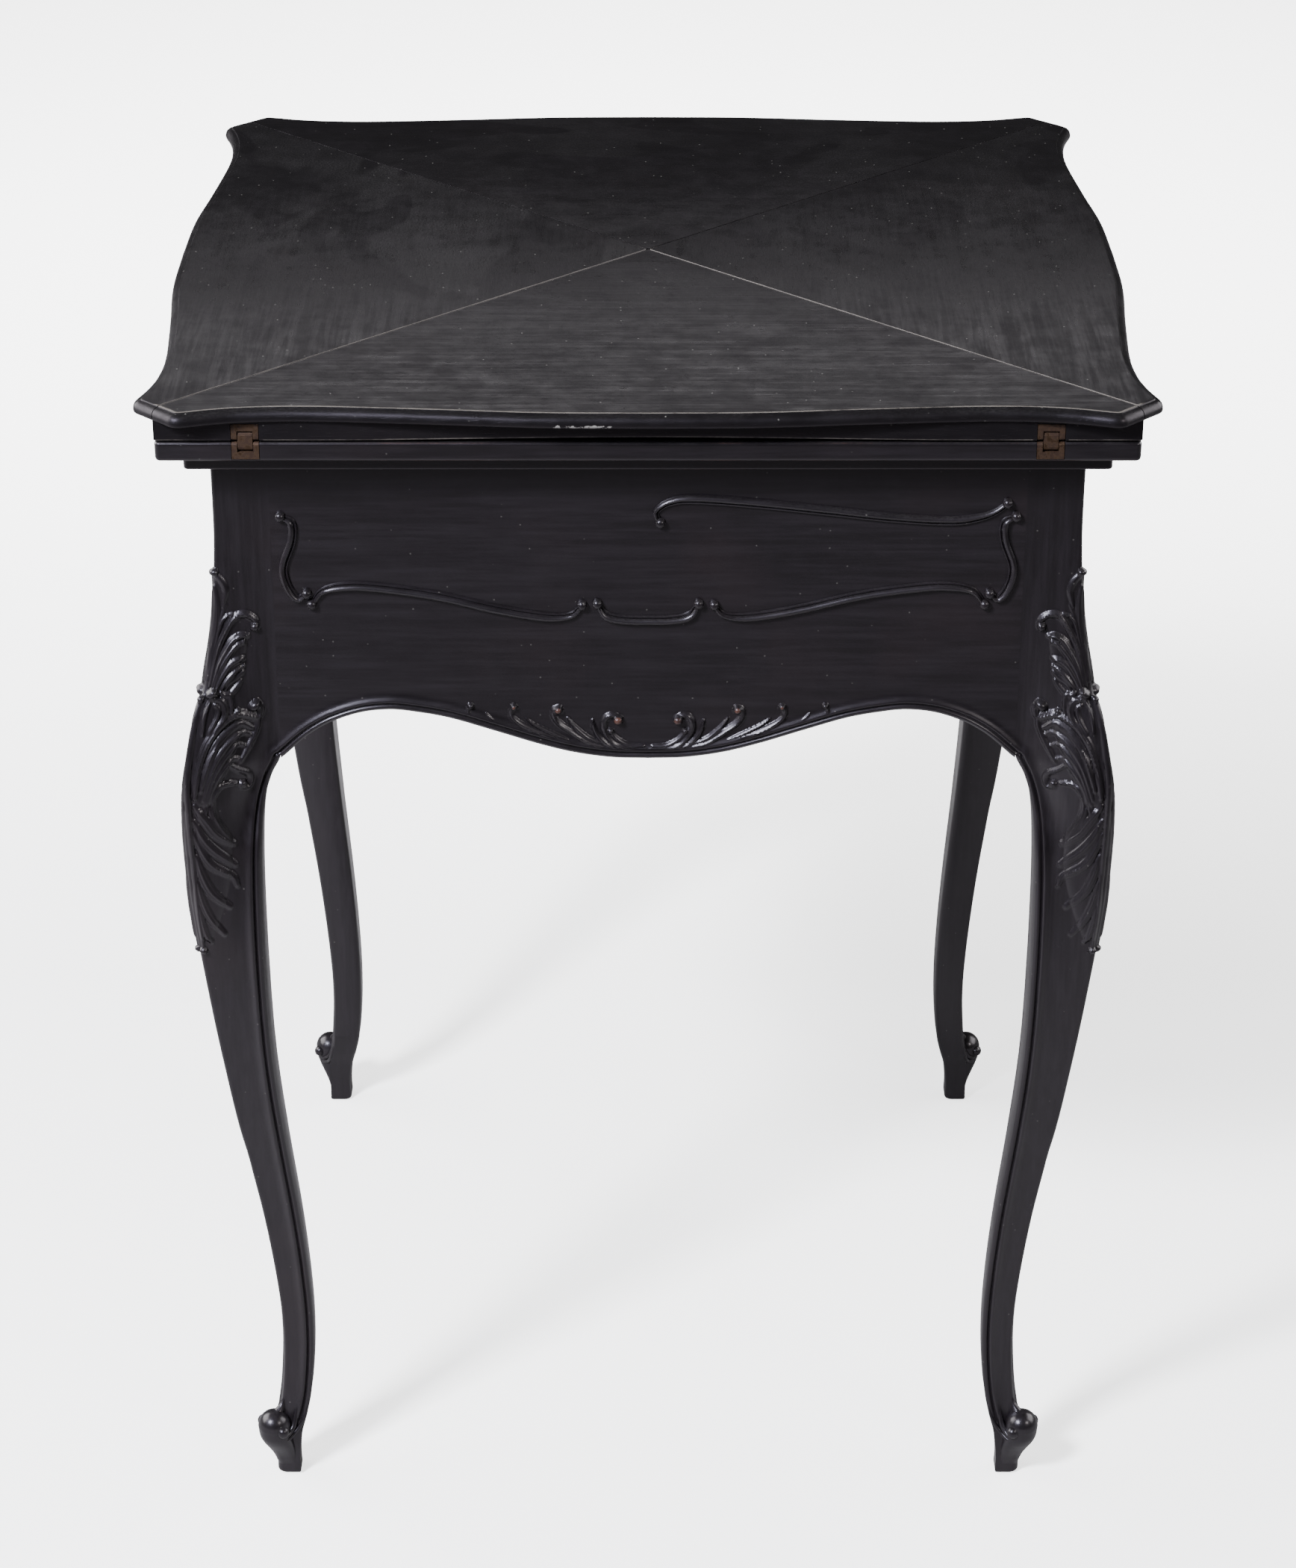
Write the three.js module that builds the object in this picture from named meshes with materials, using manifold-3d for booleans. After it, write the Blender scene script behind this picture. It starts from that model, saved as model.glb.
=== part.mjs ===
// Envelope card table in ebonised wood.
// A square top swivels on a frame with cabriole legs. Four triangular leaves fold in to the centre of
// the top, and each opens through 180 degrees on two edge hinges with double-pin links.
// Millimetres, +Z up, front towards -Y, origin on the floor under the centre of the table.
import * as THREE from "three";
import { mergeVertices } from "three/addons/utils/BufferGeometryUtils.js";
import Module from "manifold-3d";

const wasm = await Module();
wasm.setup();

// Driving dimensions of the whole table
const TABLE_HEIGHT = 760;
const TOP_HALF = 292;
const OVERHANG = 13;
const FOLD_GAP = 1;
const FIT_GAP = 0.3;
const CUT_OVERRUN = 1;
const QUARTER_TURN = Math.PI / 2;

// Leaves: a straight lower layer, and an upper layer with a shaped and rounded edge
const LEAF_THICKNESS = 20;
const MOULDING_THICKNESS = 8;
const LEAF_SEAM = 0.6;
const LEAF_TIP_CUT = 1.2;
const MITRE_GAP = 0.6;
const NECK_DEPTH = 11;
const FOLD_EDGE_RADIUS = 2;
// Along half a side, and how much of the neck's depth the edge is drawn in there
const LEAF_EDGE_SHARES = [
  [0, 0],
  [0.23, 0.09],
  [0.45, 0.545],
  [0.66, 0.93],
  [0.746, 1],
  [0.81, 0.945],
  [0.867, 0.8],
  [0.923, 0.53],
  [0.972, 0.18],
  [1, 0],
];
const LEAF_EDGE_STEPS = 10;
const EDGE_CROWDING = 1.45;
const EDGE_ROUNDING = 6;
const ROUNDING_STEPS = 2;
// Up the moulded layer, and how much of the rounding the edge is drawn in there
const MOULDING_SHARES = [
  [0, 0.25],
  [0.22, 0],
  [0.6, 0.07],
  [0.88, 0.42],
  [1, 1],
];

// Bed under the leaves, and the sub-board under the bed
const BED_CORNER_RADIUS = 3;
const BED_LOWER_RADIUS = 2.5;
const SUB_BOARD_THICKNESS = 10.3;
const SUB_BOARD_INSET = 1.5;
const SUB_BOARD_RADIUS = 1.5;

// Baize on the playing surfaces
const BAIZE_THICKNESS = 1;
const BAIZE_RECESS = 0.65;
const BAIZE_BORDER = 28;
const BAIZE_SEAM_BORDER = 22;

// Edge hinges, two to a leaf
const HINGE_FROM_CORNER = 51.5;
const PLATE_WIDTH = 15.5;
const PLATE_HEIGHT = 10;
const PLATE_DEPTH = 7.5;
const PLATE_THICKNESS = 2;
const PLATE_ARM = 27;
const PIN_DEPTH = 3;
const PIN_RADIUS = 1.1;
const LINK_WIDTH = 8.5;
const LINK_END_RADIUS = 2.5;
const HINGE_ARC_STEPS = 3;
const PIN_SIDES = 6;

// Frame: posts of the legs, aprons between them, and the board inside
const FRIEZE_SETBACK = 13.5;
const POST_SIZE = 33;
const APRON_THICKNESS = 20;
const APRON_DEPTH = 189;
const ARCH_RISE = 32;
// Along half an apron, and how far its lower edge has risen from the centre to the arch there
const APRON_EDGE_SHARES = [
  [0, 0],
  [0.1, 0.02],
  [0.2, 0.12],
  [0.3, 0.3],
  [0.42, 0.57],
  [0.54, 0.83],
  [0.63, 0.95],
  [0.7, 1],
  [0.78, 0.94],
  [0.86, 0.75],
  [0.91, 0.55],
  [0.94, 0.39],
  [0.97, 0.2],
  [1, 0.01],
];
const APRON_EDGE_STEPS = 11;
const TENON_LENGTH = 16;
const TENON_THICKNESS = 8;
const TENON_HEIGHT = 110;
const TENON_FROM_TOP = 18;
const BOARD_THICKNESS = 12;
const BLOCK_HEIGHT = 40;
const BLOCK_REACH = 50;

// Bead that runs along the lower edge of the aprons and down the inner edges of the legs
const BEAD_WIDTH = 4.2;
const BEAD_RELIEF = 1.3;
const BEAD_SHOULDER_SHARE = 0.24;

// Cabriole legs
const KNEE_REACH = 24.2;
const ANKLE_DRAW = 15;
const INNER_DRAW = 15;
// Height up the leg, reach of the outer edge, draw of the inner edge. A reach above nought is a share
// of the knee's reach, and one below nought is a share of the ankle's draw.
const LEG_SHARES = [
  [0, -0.4, 0.67],
  [0.021, -0.43, 0.68],
  [0.045, -0.51, 0.55],
  [0.065, -0.7, 0.3],
  [0.084, -0.84, 0.11],
  [0.112, -0.95, -0.03],
  [0.14, -1, -0.1],
  [0.175, -0.95, -0.1],
  [0.223, -0.77, 0],
  [0.28, -0.47, 0.2],
  [0.363, 0.074, 0.57],
  [0.447, 0.42, 0.87],
  [0.53, 0.7, 0.97],
  [0.614, 0.934, 0.97],
  [0.67, 1, 0.88],
  [0.7, 0.985, 0.71],
  [0.722, 0.94, 0.4],
  [0.74, 0.87, 0.01],
  [0.781, 0.64, 0],
  [0.809, 0.38, 0],
  [0.85, 0.17, 0],
  [0.893, 0.07, 0],
  [0.94, 0, 0],
  [1, 0, 0],
];
const LEG_LEVELS = 22;
const KNEE_BLEND_SHARES = [0.47, 0.765];
const LEG_BEAD_SHARES = [0.05, 0.09, 0.728, 0.742];
const ARRIS_RADIUS = 2.2;
const FOOT_ROUNDING = 2.4;
const FOOT_ROUNDING_SHARES = [0.02, 0.07];
const LEG_INNER_RADIUS = 4;
const FACE_MIDDLE_SHARE = 0.55;

// Toe of the leg: a scroll ball on the outer corner over a small foot, with a lesser ball on each face
const TOE_RADIUS = 10.5;
const TOE_HEIGHT = 40;
const TOE_INSET = 6.9;
// Height above the middle of the ball, radius, and draw towards the leg, each as shares of its radius
const TOE_SHARES = [
  [1, 0.12, 0],
  [0.84, 0.55, 0],
  [0.5, 0.87, 0],
  [0, 1, 0],
  [-0.6, 0.98, 0.01],
  [-1.3, 0.92, 0.06],
  [-1.85, 0.78, 0.14],
  [-2.3, 0.64, 0.34],
  [-3, 0.55, 0.65],
];
const TOE_SIDES = 8;
const VOLUTE_RADIUS = 4.1;
const VOLUTE_HEIGHT = 34.5;
const VOLUTE_INSET = 14.7;
const VOLUTE_SINK = 7;

// Applied scroll mouldings that frame each apron
const SCROLL_WIDTH = 5;
const SCROLL_RELIEF = 2.8;
const SCROLL_BALL_RADIUS = 2.9;
const SCROLL_NECK_SHARE = 0.5;
const SCROLL_CREST_SHARE = 0.5;
const SCROLL_SWELL_SHARE = 0.14;
const SCROLL_GLUE_DEPTH = 0.5;
const SCROLL_STEPS = 5;
const SCROLL_FRAME_MARGIN = 9.7;
const SCROLL_FRAME_HEIGHT = 76;
const SCROLL_FRAME_DROP = 23;
// Across half the frame and up its height: the long scroll above, the one below, the end and the centre
const UPPER_SCROLL_SHARES = [
  [0.034, 0.81],
  [0.021, 0.89],
  [0.05, 0.965],
  [0.11, 1],
  [0.28, 0.97],
  [0.5, 0.905],
  [0.676, 0.85],
  [0.85, 0.825],
  [0.93, 0.86],
  [0.97, 0.91],
  [0.995, 0.97],
];
const LOWER_SCROLL_SHARES = [
  [0.185, 0.13],
  [0.212, 0.045],
  [0.279, 0.027],
  [0.418, 0.09],
  [0.59, 0.205],
  [0.745, 0.27],
  [0.834, 0.285],
  [0.909, 0.245],
  [0.942, 0.135],
];
const END_SCROLL_SHARES = [
  [1.02, 0.86],
  [0.99, 0.81],
  [0.99, 0.67],
  [1.017, 0.44],
  [1.007, 0.28],
  [0.98, 0.18],
  [0.955, 0.225],
];
const CENTRE_SCROLL_SHARES = [
  [-0.142, 0.14],
  [-0.118, 0.04],
  [-0.07, 0.005],
  [0, 0],
  [0.07, 0.005],
  [0.118, 0.04],
  [0.142, 0.14],
];

// Swivel: a bolt through the sub-board and the frame's board, and a peg in an arc slot that stops it
const SWIVEL_ANGLE = Math.PI / 4;
const BOLT_RADIUS = 5;
const BOLT_HEAD_RADIUS = 14;
const BOLT_HEAD_THICKNESS = 3;
const BOLT_TAIL = 4;
const WASHER_RADIUS = 15;
const WASHER_THICKNESS = 2;
const NUT_RADIUS = 9.5;
const NUT_THICKNESS = 8;
const NUT_SIDES = 6;
const ROUND_SIDES = 16;
const PEG_RADIUS = 4;
const PEG_RISE = 4.6;
const PEG_DISTANCE = 70;
const SLOT_DEPTH = 6;
const SLOT_STEPS = 6;

// Levels, from the top down
const LEAF_BOTTOM = TABLE_HEIGHT - LEAF_THICKNESS;
const MOULDING_BOTTOM = TABLE_HEIGHT - MOULDING_THICKNESS;
const BED_TOP = LEAF_BOTTOM - FOLD_GAP;
const BED_BOTTOM = BED_TOP - (LEAF_THICKNESS - MOULDING_THICKNESS - FIT_GAP);
const SUB_BOARD_BOTTOM = BED_BOTTOM - SUB_BOARD_THICKNESS;
const FRAME_TOP = SUB_BOARD_BOTTOM - FIT_GAP;
const BOARD_BOTTOM = FRAME_TOP - BOARD_THICKNESS;

// Distances from the centre, from the outside in
const HINGE_LINE = TOP_HALF - OVERHANG;
const BED_HALF = HINGE_LINE - FOLD_GAP / 2;
const EAR_START = TOP_HALF - 2 * OVERHANG - MITRE_GAP;
const SUB_BOARD_HALF = HINGE_LINE - OVERHANG - SUB_BOARD_INSET;
const FRAME_HALF = SUB_BOARD_HALF - FRIEZE_SETBACK;
const POST_INNER = FRAME_HALF - POST_SIZE;
const APRON_HALF = POST_INNER - FIT_GAP;
const APRON_INNER = FRAME_HALF - APRON_THICKNESS;
const SCROLL_FRAME_HALF = APRON_HALF - SCROLL_FRAME_MARGIN;
const HINGE_PLACES = [-(BED_HALF - HINGE_FROM_CORNER), BED_HALF - HINGE_FROM_CORNER];
const SIDES = ["front", "right", "back", "left"];

// Finishes
const EBONISED = { color: 0x1c191d, roughness: 0.42, metalness: 0 };
const STAINED_PINE = { color: 0x33261d, roughness: 0.75, metalness: 0 };
const BAIZE = { color: 0x1f4a2f, roughness: 0.95, metalness: 0 };
const OLD_BRASS = { color: 0x5d4433, roughness: 0.5, metalness: 0.9 };
const DARK_STEEL = { color: 0x3a3836, roughness: 0.5, metalness: 0.9 };

const vec3 = (x, y, z) => new THREE.Vector3(x, y, z);
const vec2 = (x, y) => new THREE.Vector2(x, y);

// Triangles over a flat ring that keep its turn, whatever plane it lies in
function capTriangles(ring) {
  const normal = vec3(0, 0, 0);
  ring.forEach((point, i) => {
    normal.add(vec3(0, 0, 0).crossVectors(point, ring[(i + 1) % ring.length]));
  });
  normal.normalize();
  const across = ring[1].clone().sub(ring[0]).normalize();
  const up = vec3(0, 0, 0).crossVectors(normal, across);
  const flat = ring.map((point) => vec2(point.dot(across), point.dot(up)));
  return THREE.ShapeUtils.triangulateShape(flat, []).map(([a, b, c]) => {
    const turn = flat[b].clone().sub(flat[a]).cross(flat[c].clone().sub(flat[a]));
    return turn > 0 ? [a, b, c] : [a, c, b];
  });
}

// A closed skin through rings of points. Each ring turns anticlockwise about the way the rings follow.
function loft(rings) {
  const count = rings[0].length;
  const last = (rings.length - 1) * count;
  const index = [];
  for (let k = 0; k + 1 < rings.length; k++) {
    for (let i = 0; i < count; i++) {
      const next = (i + 1) % count;
      const [a, b] = [k * count + i, k * count + next];
      index.push(a, b, b + count, a, b + count, a + count);
    }
  }
  capTriangles(rings[0]).forEach(([a, b, c]) => index.push(c, b, a));
  capTriangles(rings[rings.length - 1]).forEach(([a, b, c]) => index.push(last + a, last + b, last + c));
  return new THREE.BufferGeometry().setFromPoints(rings.flat()).setIndex(index);
}

// A solid that can be joined and cut, from a closed geometry
function solidOf(geometry) {
  const bare = geometry.clone();
  Object.keys(bare.attributes).forEach((name) => {
    if (name !== "position") bare.deleteAttribute(name);
  });
  const merged = mergeVertices(bare);
  const corners = merged.index.array;
  const triVerts = [];
  for (let i = 0; i < corners.length; i += 3) {
    const [a, b, c] = [corners[i], corners[i + 1], corners[i + 2]];
    if (a !== b && b !== c && c !== a) triVerts.push(a, b, c);
  }
  const vertProperties = merged.attributes.position.array;
  return new wasm.Manifold(new wasm.Mesh({ numProp: 3, vertProperties, triVerts: new Uint32Array(triVerts) }));
}

function geometryOf(solid) {
  const mesh = solid.getMesh();
  const position = new THREE.BufferAttribute(new Float32Array(mesh.vertProperties), mesh.numProp);
  const geometry = new THREE.BufferGeometry().setAttribute("position", position);
  geometry.setIndex(new THREE.BufferAttribute(new Uint32Array(mesh.triVerts), 1));
  return geometry.toNonIndexed();
}

function join(...geometries) {
  return geometries.map(solidOf).reduce((whole, solid) => whole.add(solid));
}

function cut(solid, geometries) {
  return geometries.map(solidOf).reduce((whole, tool) => whole.subtract(tool), solid);
}

// A block between two corners
function block(low, high) {
  const size = high.clone().sub(low);
  const middle = high.clone().add(low).multiplyScalar(1 / 2);
  return new THREE.BoxGeometry(size.x, size.y, size.z).translate(middle.x, middle.y, middle.z);
}

// A plan outline given anticlockwise, raised between two levels
function slab(outline, low, high) {
  const shape = new THREE.Shape(outline);
  return new THREE.ExtrudeGeometry(shape, { depth: high - low, bevelEnabled: false }).translate(0, 0, low);
}

// An upright round bar or disc
function round(radius, low, high, sides = ROUND_SIDES) {
  const bar = new THREE.CylinderGeometry(radius, radius, high - low, sides);
  return bar.rotateX(QUARTER_TURN).translate(0, 0, (high + low) / 2);
}

// A square in plan with rounded corners, anticlockwise
function roundedSquare(half, radius) {
  const points = [];
  for (let corner = 0; corner < SIDES.length; corner++) {
    for (let step = 0; step <= HINGE_ARC_STEPS - 1; step++) {
      const angle = (step / (HINGE_ARC_STEPS - 1)) * QUARTER_TURN;
      const point = vec2(half - radius + radius * Math.cos(angle), half - radius + radius * Math.sin(angle));
      points.push(point.rotateAround(vec2(0, 0), corner * QUARTER_TURN));
    }
  }
  return points;
}

// A board with its upper and lower edges rounded
function roundedBoard(half, corner, low, high, lowerRadius, upperRadius) {
  const rings = [];
  const addRing = (inset, level) => {
    rings.push(roundedSquare(half - inset, corner).map((p) => vec3(p.x, p.y, level)));
  };
  for (let step = 0; step <= ROUNDING_STEPS; step++) {
    const angle = (step / ROUNDING_STEPS) * QUARTER_TURN;
    addRing(lowerRadius * (1 - Math.sin(angle)), low + lowerRadius * (1 - Math.cos(angle)));
  }
  for (let step = 0; step <= ROUNDING_STEPS; step++) {
    const angle = (step / ROUNDING_STEPS) * QUARTER_TURN;
    addRing(upperRadius * (1 - Math.cos(angle)), high - upperRadius * (1 - Math.sin(angle)));
  }
  return loft(rings);
}

// The value at a place in a table of [place, value] rows, along a smooth curve through them
function alongTable(rows, place) {
  const last = rows.length - 1;
  const at = rows.findIndex((row) => row[0] >= place);
  const upper = Math.min(Math.max(at < 0 ? last : at, 1), last);
  const [x0, y0] = rows[upper - 1];
  const [x1, y1] = rows[upper];
  const slope = (k) => {
    const [before, after] = [rows[Math.max(k - 1, 0)], rows[Math.min(k + 1, last)]];
    return (after[1] - before[1]) / (after[0] - before[0]);
  };
  const t = (place - x0) / (x1 - x0);
  const reach = x1 - x0;
  const start = (2 * t ** 3 - 3 * t ** 2 + 1) * y0 + (t ** 3 - 2 * t ** 2 + t) * reach * slope(upper - 1);
  return start + (3 * t ** 2 - 2 * t ** 3) * y1 + (t ** 3 - t ** 2) * reach * slope(upper);
}

const smooth = (low, high, value) => THREE.MathUtils.smoothstep(value, low, high);
const within = (low, high, value) => THREE.MathUtils.clamp((value - low) / (high - low), 0, 1);

// Half of a leaf's shaped edge, from the middle of the side to the ear
function leafEdgePoint(share) {
  return vec2(EAR_START * share, TOP_HALF - NECK_DEPTH * alongTable(LEAF_EDGE_SHARES, share));
}

// Steps along half an edge, closer together towards its end, as plain shares
function halfShares(steps, crowding) {
  return Array.from({ length: steps + 1 }, (_, i) => 1 - (1 - i / steps) ** crowding);
}

// Plan outline of the front leaf's upper layer, its edge drawn in by an inset
function mouldedOutline(inset) {
  const half = halfShares(LEAF_EDGE_STEPS, EDGE_CROWDING).map(leafEdgePoint);
  const seam = LEAF_SEAM / Math.SQRT2;
  const earLine = TOP_HALF + EAR_START - inset * Math.SQRT2;
  const corner = vec2((earLine - seam) / 2, (earLine + seam) / 2);
  const outerCorner = vec2((TOP_HALF + EAR_START - seam) / 2, (TOP_HALF + EAR_START + seam) / 2);
  const drawn = half.map((point, i) => {
    const before = i > 0 ? half[i - 1] : vec2(-half[1].x, half[1].y);
    const after = i + 1 < half.length ? half[i + 1] : outerCorner;
    const normal = after.clone().sub(before).normalize();
    return vec2(point.x + inset * normal.y, point.y - inset * normal.x);
  });
  const right = [...drawn, corner].map((p) => vec2(p.x, -p.y));
  const left = right.slice(1).reverse().map((p) => vec2(-p.x, p.y));
  return [...left, ...right, ...leafTip()];
}

// The blunt tip of a leaf at the centre of the table
function leafTip() {
  const seam = LEAF_SEAM / Math.SQRT2;
  return [vec2(LEAF_TIP_CUT - seam, -LEAF_TIP_CUT), vec2(seam - LEAF_TIP_CUT, -LEAF_TIP_CUT)];
}

// Plan outline of the leaf's lower layer: the same points, brought to a straight edge
function straightOutline(inset) {
  const seam = LEAF_SEAM / Math.SQRT2;
  const edge = BED_HALF - inset;
  const corner = vec2(edge - seam, -edge);
  const half = halfShares(LEAF_EDGE_STEPS, EDGE_CROWDING).map((share) => vec2(EAR_START * share, -edge));
  const right = [...half, corner];
  const left = right.slice(1).reverse().map((p) => vec2(-p.x, p.y));
  return [...left, ...right, ...leafTip()];
}

// Plan outline of the baize on a leaf
function leafBaizeOutline(clearance) {
  const outer = BED_HALF - BAIZE_BORDER - clearance;
  const seam = (BAIZE_SEAM_BORDER + clearance) * Math.SQRT2;
  return [vec2(0, -seam), vec2(seam - outer, -outer), vec2(outer - seam, -outer)];
}

// The two blocks cut out for a hinge plate, in the frame of a front hinge let in from above
function hingeRecess() {
  const half = PLATE_WIDTH / 2 + FIT_GAP;
  const sunk = (depth) => -(depth + FIT_GAP);
  return [
    block(vec3(-half, -CUT_OVERRUN, sunk(PLATE_HEIGHT)), vec3(half, PLATE_DEPTH + FIT_GAP, CUT_OVERRUN)),
    block(vec3(-half, -CUT_OVERRUN, sunk(PLATE_THICKNESS)), vec3(half, PLATE_ARM + FIT_GAP, CUT_OVERRUN)),
  ];
}

// Turns a shape drawn as outward distance and height into one that runs along the front edge
const ALONG_FRONT_EDGE = new THREE.Matrix4().makeBasis(vec3(0, -1, 0), vec3(0, 0, 1), vec3(-1, 0, 0));

// An outline of outward distance and height, given a width centred along the front edge
function acrossEdge(shape, width) {
  const geometry = new THREE.ExtrudeGeometry(shape, {
    depth: width,
    bevelEnabled: false,
    curveSegments: HINGE_ARC_STEPS,
  });
  return geometry.translate(0, 0, -width / 2).applyMatrix4(ALONG_FRONT_EDGE);
}

// L-shaped hinge plate with a slot for the link and the pin across it. Its corner is the origin.
function hingePlateGeometry() {
  const profile = new THREE.Shape();
  profile.moveTo(-PLATE_ARM, 0);
  profile.lineTo(-PLATE_ARM, -PLATE_THICKNESS);
  profile.lineTo(-PLATE_DEPTH, -PLATE_THICKNESS);
  profile.lineTo(-PLATE_DEPTH, -PLATE_HEIGHT);
  profile.lineTo(0, -PLATE_HEIGHT);
  profile.lineTo(0, -FOLD_EDGE_RADIUS);
  profile.absarc(-FOLD_EDGE_RADIUS, -FOLD_EDGE_RADIUS, FOLD_EDGE_RADIUS, 0, QUARTER_TURN, false);
  const reach = PIN_DEPTH + LINK_END_RADIUS + FIT_GAP;
  const half = LINK_WIDTH / 2 + FIT_GAP;
  const slot = block(vec3(-half, -CUT_OVERRUN, -reach), vec3(half, reach, CUT_OVERRUN));
  const plate = cut(solidOf(acrossEdge(profile, PLATE_WIDTH)), [slot]);
  const pin = new THREE.CylinderGeometry(PIN_RADIUS, PIN_RADIUS, PLATE_WIDTH - 2 * FIT_GAP, PIN_SIDES);
  pin.rotateZ(QUARTER_TURN).translate(0, PIN_DEPTH, -PIN_DEPTH);
  return geometryOf(plate.add(solidOf(pin)));
}

// Link with an eye at each end. The lower pin's centre is the origin.
function hingeLinkGeometry() {
  const length = 2 * PIN_DEPTH + FOLD_GAP;
  const profile = new THREE.Shape();
  profile.absarc(0, 0, LINK_END_RADIUS, Math.PI, 2 * Math.PI, false);
  profile.absarc(0, length, LINK_END_RADIUS, 0, Math.PI, false);
  for (const height of [0, length]) {
    const eye = new THREE.Path();
    eye.absarc(0, height, PIN_RADIUS + FIT_GAP, 0, 2 * Math.PI, true);
    profile.holes.push(eye);
  }
  return acrossEdge(profile, LINK_WIDTH);
}

// Front leaf with its recesses, seen closed
function leafGeometry() {
  const rings = [];
  const addRing = (outline, level) => rings.push(outline.map((p) => vec3(p.x, p.y, level)));
  for (let step = 0; step <= ROUNDING_STEPS; step++) {
    const angle = (step / ROUNDING_STEPS) * QUARTER_TURN;
    const inset = FOLD_EDGE_RADIUS * (1 - Math.sin(angle));
    addRing(straightOutline(inset), LEAF_BOTTOM + FOLD_EDGE_RADIUS * (1 - Math.cos(angle)));
  }
  addRing(straightOutline(0), MOULDING_BOTTOM);
  for (const [rise, draw] of MOULDING_SHARES) {
    addRing(mouldedOutline(EDGE_ROUNDING * draw), MOULDING_BOTTOM + MOULDING_THICKNESS * rise);
  }
  const recess = slab(leafBaizeOutline(0), LEAF_BOTTOM - CUT_OVERRUN, LEAF_BOTTOM + BAIZE_RECESS);
  const tools = [recess];
  for (const place of HINGE_PLACES) {
    tools.push(...hingeRecess().map((tool) => tool.rotateY(Math.PI).translate(place, -BED_HALF, LEAF_BOTTOM)));
  }
  return geometryOf(cut(solidOf(loft(rings)), tools));
}

function leafBaizeGeometry() {
  const ceiling = LEAF_BOTTOM + BAIZE_RECESS;
  return slab(leafBaizeOutline(FIT_GAP), ceiling - BAIZE_THICKNESS, ceiling);
}

function squareOutline(half) {
  return [vec2(-half, -half), vec2(half, -half), vec2(half, half), vec2(-half, half)];
}

// Bed with its baize recess and the recesses of its hinges
function bedGeometry() {
  const board = roundedBoard(
    BED_HALF,
    BED_CORNER_RADIUS,
    BED_BOTTOM,
    BED_TOP,
    BED_LOWER_RADIUS,
    FOLD_EDGE_RADIUS,
  );
  const tools = [slab(squareOutline(BED_HALF - BAIZE_BORDER), BED_TOP - BAIZE_RECESS, BED_TOP + CUT_OVERRUN)];
  SIDES.forEach((_, turn) => {
    for (const place of HINGE_PLACES) {
      const recess = hingeRecess().map((tool) => tool.translate(place, -BED_HALF, BED_TOP));
      tools.push(...recess.map((tool) => tool.rotateZ(turn * QUARTER_TURN)));
    }
  });
  return geometryOf(cut(solidOf(board), tools));
}

function bedBaizeGeometry() {
  const floor = BED_TOP - BAIZE_RECESS;
  return slab(squareOutline(BED_HALF - BAIZE_BORDER - FIT_GAP), floor, floor + BAIZE_THICKNESS);
}

// Arc slot in the sub-board that the stop peg runs in as the top turns
function pegSlotGeometry() {
  const clear = PEG_RADIUS + FIT_GAP;
  const start = -QUARTER_TURN;
  const end = start - SWIVEL_ANGLE;
  const outline = new THREE.Shape();
  outline.absarc(0, 0, PEG_DISTANCE + clear, start, end, true);
  outline.absarc(PEG_DISTANCE * Math.cos(end), PEG_DISTANCE * Math.sin(end), clear, end, end - Math.PI, true);
  outline.absarc(0, 0, PEG_DISTANCE - clear, end, start, false);
  outline.absarc(0, -PEG_DISTANCE, clear, start + Math.PI, start, true);
  const depth = SLOT_DEPTH + CUT_OVERRUN;
  const slot = new THREE.ExtrudeGeometry(outline, { depth, bevelEnabled: false, curveSegments: SLOT_STEPS });
  return slot.translate(0, 0, SUB_BOARD_BOTTOM - CUT_OVERRUN);
}

function subBoardGeometry() {
  const board = roundedBoard(
    SUB_BOARD_HALF,
    BED_CORNER_RADIUS,
    SUB_BOARD_BOTTOM,
    BED_BOTTOM,
    SUB_BOARD_RADIUS,
    SUB_BOARD_RADIUS,
  );
  const headRecess = round(BOLT_HEAD_RADIUS + FIT_GAP, BED_BOTTOM - BOLT_HEAD_THICKNESS, BED_BOTTOM + CUT_OVERRUN);
  const hole = round(BOLT_RADIUS + FIT_GAP, SUB_BOARD_BOTTOM - CUT_OVERRUN, BED_BOTTOM);
  return geometryOf(cut(solidOf(board), [headRecess, hole, pegSlotGeometry()]));
}

// Pivot bolt, with its head let into the top of the sub-board
function boltGeometry() {
  const headBottom = BED_BOTTOM - BOLT_HEAD_THICKNESS;
  const tail = BOARD_BOTTOM - FIT_GAP - WASHER_THICKNESS - NUT_THICKNESS - BOLT_TAIL;
  const shank = round(BOLT_RADIUS, tail, headBottom + BOLT_HEAD_THICKNESS / 2);
  return geometryOf(join(round(BOLT_HEAD_RADIUS, headBottom, BED_BOTTOM), shank));
}

// A disc with a hole that clears the bolt
function ringGeometry(radius, low, high, sides) {
  const hole = round(BOLT_RADIUS + FIT_GAP, low - CUT_OVERRUN, high + CUT_OVERRUN);
  return geometryOf(cut(solidOf(round(radius, low, high, sides)), [hole]));
}

// Board inside the aprons, notched round the leg posts
function frameBoardGeometry() {
  const edge = APRON_INNER - FIT_GAP;
  const notch = POST_INNER - FIT_GAP;
  const outline = [];
  SIDES.forEach((_, turn) => {
    const corner = [vec2(notch, -edge), vec2(notch, -notch), vec2(edge, -notch)];
    outline.push(...corner.map((p) => p.rotateAround(vec2(0, 0), turn * QUARTER_TURN)));
  });
  const hole = round(BOLT_RADIUS + FIT_GAP, BOARD_BOTTOM - CUT_OVERRUN, FRAME_TOP + CUT_OVERRUN);
  const pegHole = round(PEG_RADIUS + FIT_GAP, BOARD_BOTTOM - CUT_OVERRUN, FRAME_TOP + CUT_OVERRUN);
  pegHole.translate(0, -PEG_DISTANCE, 0);
  return geometryOf(cut(solidOf(slab(outline, BOARD_BOTTOM, FRAME_TOP)), [hole, pegHole]));
}

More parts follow.
